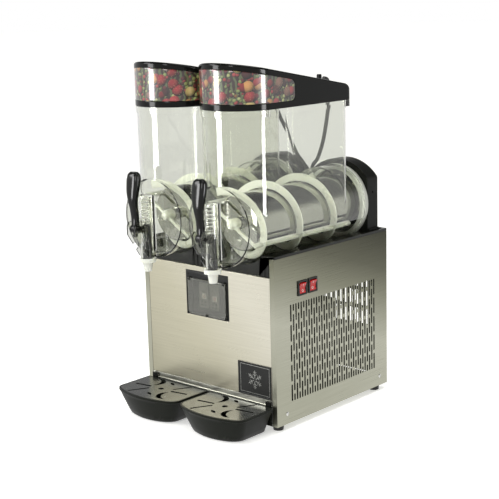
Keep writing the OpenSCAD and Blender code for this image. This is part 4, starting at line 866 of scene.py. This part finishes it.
def printShell(plan, inset=0.35):
    # the print's face: the outline carried inward by a hair less than the recess, between the window's edges
    outline = planCurve(plan, 520)
    out = outward(outline)
    keep = np.flatnonzero(outline[:, 1] < plan["printEnd"] - inset)
    order = np.concatenate([keep[keep >= 520], keep[keep < 520]])
    line, normal = outline[order], out[order]
    low, high = printWindow(line[:, 1], plan, inset)
    t = np.linspace(0, 1, 24)[:, None]
    z = low + t * (high - low)
    faceIn = plan["recess"] - 0.5
    front = np.stack([np.broadcast_to(line[:, 0] - normal[:, 0] * faceIn, z.shape),
                      np.broadcast_to(line[:, 1] - normal[:, 1] * faceIn, z.shape), z], -1)
    rows, across = z.shape
    length = np.concatenate([[0], np.cumsum(np.linalg.norm(np.diff(line, axis=0), axis=1))])
    flatMap = np.stack([np.broadcast_to(length / 1000, z.shape), z / 1000], -1)
    return front.reshape(-1, 3), gridFaces(rows, across, False), flatMap.reshape(-1, 2)


for side in sides:
    points, faces = lidShell(lid)
    shell = makeObject(f"{side}_lid_shell", inFrame(points, side), faces, 32)
    wall = shell.modifiers.new("wall", "SOLIDIFY")
    wall.thickness, wall.offset, wall.use_even_offset = lid["wall"] / 1000, -1, False
    place(shell, f"{side}_lid", "black_plastic", finish["lidPlastic"], (f"{side}_lid",))
    gland = lathe([(0.3, 20), (4.4, 20), (5.4, 19), (5.8, 17), (5.8, 3), (6.5, 1), (6.5, -3), (0.3, -3)], 48,
                  "z")
    points, faces = moved(gland, None,
                          (11, lid["back"] - 18, lid["roof"] - lid["slope"] * (lid["back"] - 10)))
    piece = makeObject(f"{side}_lid_gland", inFrame(points, side), faces)
    place(piece, f"{side}_lid", "black_plastic", finish["lidPlastic"])

    points, faces, flatMap = printShell(lid)
    film = bpy.data.meshes.new(f"{side}_print_film")
    film.from_pydata(inFrame(points, side).tolist(), [], faces)
    layer = film.uv_layers.new(name="flat")
    corners = np.zeros(len(film.loops), int)
    film.loops.foreach_get("vertex_index", corners)
    shift = np.array([printShift[side], 0.0])
    layer.data.foreach_set("uv", (flatMap[corners] + shift).ravel())
    film.shade_smooth()
    piece = newObject(f"{side}_print_film", film)
    skin = piece.modifiers.new("film", "SOLIDIFY")
    skin.thickness, skin.offset = 0.0006, -1
    place(piece, f"{side}_lid", "print", finish["print"], (f"{side}_lid_print",))
print("lids and prints shaped")

# image points in the photograph's 499 x 499 frame. Those of machineTop, rightLidGland and rightNozzle were
# moved to suit the render and are no longer plain readings of the photograph
photoSize = (499, 499)
photoPoints = {
    "machineLeft": (118.0, None), "machineRight": (385.6, None), "machineTop": (None, 60.0),
    "machineBottom": (None, 440.0),
    "frontRockerMarks": (303.2, 287.2), "rearRockerMarks": (311.8, 284.0), "badgeCrystal": (255.0, 379.0),
    "leftDisplay": (204.6, 295.9), "rightDisplay": (215.2, 299.1),
    "rightLidGland": (320.6, 77.0), "rightNozzle": (211.6, 275.5), "leftNozzle": (149.6, 264.0),
}


def viewRay(x, y):
    # from the lens through an image point: the camera's axes times (x - W/2, H/2 - y, -L lens / sensor)
    w, h = photoSize
    long = max(w, h)
    data = cameraObject.data
    local = Vector((x - w / 2 + data.shift_x * long, h / 2 - y + data.shift_y * long,
                    -long * data.lens / data.sensor_width))
    axes = cameraObject.matrix_world
    return axes.translation.copy(), (axes.to_3x3() @ local).normalized()


def shownAt(points):
    # frame points to image points, the ray's rule turned round
    w, h = photoSize
    long = max(w, h)
    data = cameraObject.data
    local = (np.asarray(points)
             - np.array(cameraObject.matrix_world.translation)) @ np.array(cameraObject.matrix_world.to_3x3())
    depth = -local[:, 2] / (long * data.lens / data.sensor_width)
    return np.column_stack([local[:, 0] / depth + w / 2 - data.shift_x * long, h / 2 - local[:, 1] / depth
                            + data.shift_y * long])


def finishedMesh(obj):
    # corners and faces of a piece as finished, modifiers and all
    seen = obj.evaluated_get(bpy.context.evaluated_depsgraph_get())
    mesh = seen.to_mesh()
    corners = np.empty(len(mesh.vertices) * 3)
    mesh.vertices.foreach_get("co", corners)
    faces = [tuple(p.vertices) for p in mesh.polygons]
    seen.to_mesh_clear()
    return corners.reshape(-1, 3), faces


def onSurface(name, carriers):
    # where the view ray of a named image point meets the carriers' finished surface; a miss takes the place
    # nearest the ray
    points, faces = joined([finishedMesh(obj) for obj in carriers])
    tree = BVHTree.FromPolygons(points.tolist(), faces)
    start, ahead = viewRay(*photoPoints[name])
    hit, normal, _, _ = tree.ray_cast(start, ahead)
    if hit is None:
        offset = points - np.array(start)
        along = offset @ np.array(ahead)
        aside = np.linalg.norm(offset - along[:, None] * np.array(ahead), axis=1)
        hit, normal, _, _ = tree.find_nearest(start + ahead * float(along[np.argmin(aside)]))
        print("image point misses its carrier:", name)
    return np.array(hit), np.array(normal)


pointPieces = {}      # image point: the pieces whose middle it names
pointTest = {"corners": 400,
             "margin": 0.0004}      # corners tried on each piece, and metres a view ray stops short

rockerMarks = {"barAbove": 6.4, "ringBelow": 6.6, "bar": (0.4, 1.3, 5.6), "ring": 2.5, "line": 0.5,
               "room": 1.0, "flat": 0.35}
for name in ("front", "rear"):
    face = rounded[f"{name}_rocker"]
    points, faces = finishedMesh(face)
    tree = BVHTree.FromPolygons(points.tolist(), faces)
    middle, _ = onSurface(f"{name}RockerMarks", [face])
    lo, hi = points.min(0), points.max(0)
    # half the image point's place, half the rocker's own, and never more than room away from the rocker's
    middle = np.array([0, (lo[1] + hi[1]) / 2, (lo[2] + hi[2]) / 2]) * 0.5 + middle * 0.5
    room = rockerMarks["room"] / 1000
    middle[1:] = np.clip(middle[1:], (lo + hi)[1:] / 2 - room, (lo + hi)[1:] / 2 + room)
    marks = []
    for up, kind in ((rockerMarks["barAbove"], "bar"), (-rockerMarks["ringBelow"], "ring")):
        at, normal, _, _ = tree.ray_cast(Vector((0.25, middle[1], middle[2] + up / 1000)), Vector((-1, 0, 0)))
        upward = (Vector((0, 0, 1)) - normal * normal.z).normalized()
        if kind == "bar":
            shell, faces = roundedBar(rockerMarks["bar"], 0.18)
        else:
            turn = np.linspace(0, 2 * np.pi, 41)
            ring = np.stack([np.zeros(41), rockerMarks["ring"] * np.cos(turn),
                             rockerMarks["ring"] * np.sin(turn)], -1)
            shell, faces = tube(ring, rockerMarks["line"], 8)
            shell = shell * np.array([rockerMarks["flat"], 1, 1])
        basis = np.array([normal, Vector((0, 1, 0)), upward])
        marks.append((shell / 1000 @ basis + np.array(at) + np.array(normal) * 0.0001, faces))
    points, faces = joined(marks)
    piece = makeObject(f"{name}_rocker_marks", points, faces)
    pointPieces[f"{name}RockerMarks"] = [place(piece, f"{name}_rocker", "red_plastic", finish["whiteInk"])]

badge = {"arms": 6, "arm": 21.0, "line": 1.3, "frameLine": 0.8, "inset": 6.0}


def flatLine(a, b, width, lift=0.25):
    # a thin raised bar from a to b in the front panel's plane (x, z), mm
    a, b = np.array(a, float), np.array(b, float)
    along = (b - a) / np.linalg.norm(b - a)
    across = np.array([-along[1], along[0]]) * width / 2
    corners = np.array([a + across, b + across, b - across, a - across])
    low = np.column_stack([corners[:, 0], np.zeros(4), corners[:, 1]])
    points = np.concatenate([low, low + np.array([0, -lift, 0])])
    faces = [(0, 1, 2, 3), (7, 6, 5, 4), (0, 4, 5, 1), (1, 5, 6, 2), (2, 6, 7, 3), (3, 7, 4, 0)]
    return points, faces


def crystalLines(plan, middle, size):
    # a plain snow crystal: arms every 60 degrees, each with two pairs of barbs, inside a square frame
    w, h = size[0] / 2 - plan["inset"], size[1] / 2 - plan["inset"]
    corners = [middle + np.array(c) * (w, h) for c in ((-1, -1), (1, -1), (1, 1), (-1, 1))]
    lines = [flatLine(corners[i], corners[(i + 1) % 4], plan["frameLine"]) for i in range(4)]
    for arm in range(plan["arms"]):
        a = math.radians(360 / plan["arms"] * arm + 30)
        d, n = np.array([math.cos(a), math.sin(a)]), np.array([-math.sin(a), math.cos(a)])
        lines.append(flatLine(middle + 3 * d, middle + plan["arm"] * d, plan["line"]))
        lines += [flatLine(middle + at * d, middle + (at + reach * 0.8) * d + sign * reach * n,
                           plan["line"] * 0.75) for at, reach in ((9, 5), (14.5, 4)) for sign in (-1, 1)]
    return joined(lines)


lo, hi = (np.array(corner) * 1000 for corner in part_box("badge_plate"))
hit, _ = onSurface("badgeCrystal", [rounded["badge_plate"]])
plateMiddle = np.array([(lo[0] + hi[0]) / 2, (lo[2] + hi[2]) / 2])
middle = np.clip(hit[[0, 2]] * 1000, plateMiddle - 1.0,
                 plateMiddle + 1.0)      # the frame stays even on its plate
points, faces = crystalLines(badge, middle, (hi[0] - lo[0], hi[2] - lo[2]))
depth = -1000 * float(hit[1])
piece = makeObject("badge_crystal", (points + np.array([0, -depth, 0])) / 1000, faces)
pointPieces["badgeCrystal"] = [place(piece, "machine", "enamel_black", finish["silverInk"])]

control = {"screen": (13.0, 1.2, 13.0), "segments": (1.2, 0.5, 3.4), "keys": (5.0, 1.2, 4.2),
           "keyDrop": (13.0, 21.0)}
for side in sides:
    thermostat = nodes[f"{side}_thermostat"]
    at, _ = onSurface(f"{side}Display", [thermostat])
    lo, hi = (np.array(corner) * 1000 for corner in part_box(f"{side}_thermostat"))
    x, front, z = np.clip(at[0] * 1000, lo[0] + 7.5, hi[0] - 7.5), lo[1], at[2] * 1000
    points, faces = moved(roundedBar(control["screen"], 0.4), None, (x, front + 0.4, z))
    screen = makeObject(f"{side}_display", points / 1000, faces)
    pointPieces[f"{side}Display"] = [place(screen, "machine", "grey_plastic", finish["display"])]
    bars = [moved(roundedBar(control["segments"], 0.15), None, (x + dx, front - 0.3, z + dz))
            for dx in (-3.2, 0.4, 3.4) for dz in (-2.1, 2.1)]
    points, faces = joined(bars)
    place(makeObject(f"{side}_segments", points / 1000, faces), "machine", "grey_plastic",
          finish["redSegments"])
    keys = [moved(roundedBar(control["keys"], 0.5), None, ((lo[0] + hi[0]) / 2 + dx, front + 0.1, z - dz))
            for dx in (-5, 5) for dz in control["keyDrop"]]
    points, faces = joined(keys)
    place(makeObject(f"{side}_keys", points / 1000, faces), "machine", "grey_plastic", finish["bezel"])
print("marks, badge and displays made")

studio = {"floor": 30.0, "floorGlow": 0.4, "floorSeen": 0.92, "worldLevel": 0.75, "ceiling": 0.16,
          "ceilingFrom": 0.1, "ceilingTo": 0.5}


def makeFloor(plan):
    # white paper that catches the shadow; glow is added to what the camera sees of it, and mirrors and glass
    # see it white
    half = plan["floor"]
    mesh = bpy.data.meshes.new("studioFloor")
    mesh.from_pydata([(-half, -half, 0), (half, -half, 0), (half, half, 0), (-half, half, 0)], [],
                     [(0, 1, 2, 3)])
    floor = newObject("studioFloor", mesh)
    made, tree, shader = newMaterial("paleFloorPaper", Base_Color=linear("#f4f4f2"), Roughness=0.8,
                                     Specular_IOR_Level=0.1)
    path = addNode(tree, "LightPath")
    glow = addNode(tree, "Math", {1: plan["floorGlow"]}, {0: path.outputs["Is Camera Ray"]},
                   operation="MULTIPLY")
    lit = addNode(tree, "Emission", {"Color": linear("#ffffff")}, {"Strength": glow.outputs["Value"]})
    both = addNode(tree, "AddShader", feeds={0: shader.outputs["BSDF"], 1: lit.outputs["Emission"]})
    mirrored = addNode(tree, "Math",
                       feeds={0: path.outputs["Is Glossy Ray"], 1: path.outputs["Is Transmission Ray"]},
                       operation="MAXIMUM")
    white = addNode(tree, "Emission", {"Color": linear("#ffffff"), "Strength": plan["floorSeen"]})
    mix = addNode(tree, "MixShader",
                  feeds={0: mirrored.outputs["Value"], 1: both.outputs["Shader"],
                         2: white.outputs["Emission"]})
    feed(tree.nodes["Material Output"], {"Surface": mix.outputs["Shader"]})
    mesh.materials.append(made)
    return floor


def makeWorld(plan):
    # soft white light; the camera sees white, and mirrors and glass see white up to the horizon and a dim
    # ceiling above it
    world = bpy.data.worlds.new("studioWorld")
    bpy.context.scene.world = world
    world.use_nodes = True
    tree = world.node_tree
    tree.nodes.clear()
    path = addNode(tree, "LightPath")
    heading = addNode(tree, "TexCoord").outputs["Object"]
    split = addNode(tree, "SeparateXYZ", feeds={"Vector": heading})
    level = addNode(tree, "MapRange",
                    {"From Min": plan["ceilingFrom"], "From Max": plan["ceilingTo"], "To Min": 1.0,
                     "To Max": plan["ceiling"]}, {"Value": split.outputs["Z"]},
                     interpolation_type="SMOOTHSTEP")
    soft = addNode(tree, "Background", {"Color": linear("#fbfbf7"), "Strength": plan["worldLevel"]})
    room = addNode(tree, "Background", {"Color": linear("#ffffff")}, {"Strength": level.outputs["Result"]})
    white = addNode(tree, "Background", {"Color": linear("#ffffff"), "Strength": 1.0})
    bent = addNode(tree, "Math",
                   feeds={0: path.outputs["Is Glossy Ray"], 1: path.outputs["Is Transmission Ray"]},
                   operation="MAXIMUM")
    mirrored = addNode(tree, "MixShader",
                       feeds={0: bent.outputs["Value"], 1: soft.outputs["Background"],
                              2: room.outputs["Background"]})
    mix = addNode(tree, "MixShader", feeds={0: path.outputs["Is Camera Ray"], 1: mirrored.outputs["Shader"],
                                            2: white.outputs["Background"]})
    addNode(tree, "OutputWorld", feeds={"Surface": mix.outputs["Shader"]})
    return world


def makeLamp(name, at, aim, size, power):
    # a rectangular area lamp whose back points along at - aim
    data = bpy.data.lights.new(name, "AREA")
    data.shape, data.size, data.size_y, data.energy = "RECTANGLE", size[0], size[1], power
    lamp = newObject(name, data)
    lamp.location = at
    lamp.rotation_mode = "QUATERNION"
    lamp.rotation_quaternion = (Vector(at) - Vector(aim)).to_track_quat("Z", "Y")
    return lamp


makeFloor(studio)
makeWorld(studio)
softBoxes = {
    # place, aim and size in metres, and power in watts
    "softBoxLeft": ((-1.9, -2.0, 1.9), (0, 0, 0.4), (0.9, 1.6), 42),
    "softBoxFront": ((0.7, -2.6, 1.7), (0, 0, 0.45), (0.5, 1.5), 26),
    "softBoxTop": ((0.3, 0.2, 2.6), (0, 0, 0.4), (1.4, 1.4), 22),
}
for name, settings in softBoxes.items():
    makeLamp(name, *settings)

cards = {
    # tall white cards that only the lids, prints and bowls mirror: degrees round from the front, metres,
    # watts
    "cardRight": {"turn": 99.0, "size": (0.62, 1.6), "power": 62},
    "cardLeft": {"turn": -30.0, "size": (0.62, 1.6), "power": 48},
}
cardAim = (0.1, -0.1, 0.5)       # metres
cardDistance = 2.2
mirrors = bpy.data.collections.new("cardMirrors")
for side in sides:
    for obj in (*(bpy.data.objects[f"{side}_{name}"] for name in ("lid_shell", "print_film", "lever_skin")),
                nodes[f"{side}_bowl"]):
        mirrors.objects.link(obj)
for name, card in cards.items():
    turn = math.radians(card["turn"])
    at = (cardAim[0] + cardDistance * math.sin(turn), cardAim[1] - cardDistance * math.cos(turn), cardAim[2])
    lamp = makeLamp(name, at, cardAim, card["size"], card["power"])
    lamp.visible_diffuse = False
    lamp.light_linking.receiver_collection = mirrors
bpy.context.scene.view_settings.view_transform = "Standard"
print("studio lit")


def measurePoints(shown):
    # how far each thing shows from its image point, in x and y, by the finished corners that show
    corners = {}
    for obj in bpy.context.scene.objects:
        if obj.type == "MESH" and obj.name != "studioFloor" and not obj.hide_render:
            corners[obj.name] = finishedMesh(obj)
    everything = shownAt(np.vstack([points for name, (points, _) in corners.items() if "lead" not in name]))
    found = {"machineLeft": (everything[:, 0].min(), None), "machineRight": (everything[:, 0].max(), None),
             "machineTop": (None, everything[:, 1].min()), "machineBottom": (None, everything[:, 1].max())}
    for name, pieces in shown.items():
        middles = []
        for piece in pieces:
            points, faces = corners.get(piece.name) or finishedMesh(piece)
            tree = BVHTree.FromPolygons(points.tolist(), faces)
            start = cameraObject.matrix_world.translation
            step = max(1, len(points) // pointTest["corners"])
            front = []
            for p in points[::step]:
                way = Vector(p) - start
                hit = tree.ray_cast(start, way.normalized(), way.length - pointTest["margin"])
                if hit[0] is None:
                    front.append(p)
            middles.append(np.array(front if front else points))
        flat = shownAt(np.vstack(middles))
        found[name] = tuple(((flat.min(0) + flat.max(0)) / 2).tolist())
    report = {}
    for name, wanted in photoPoints.items():
        got = found.get(name, (None, None))
        report[name] = {"point": list(wanted),
                        "shows": [None if v is None else round(float(v), 2) for v in got],
                        "off": [None if a is None or b is None else round(float(b) - a, 2) for a,
                                b in zip(wanted, got)]}
    return report


for side in sides:
    pointPieces[f"{side}Nozzle"] = [nodes[f"{side}_nozzle"]]
pointPieces["rightLidGland"] = [bpy.data.objects["right_lid_gland"]]
try:
    pointReport = measurePoints(pointPieces)
except Exception as problem:                 # the report never stops the scene
    pointReport = {"problem": str(problem)}
print("image points measured")
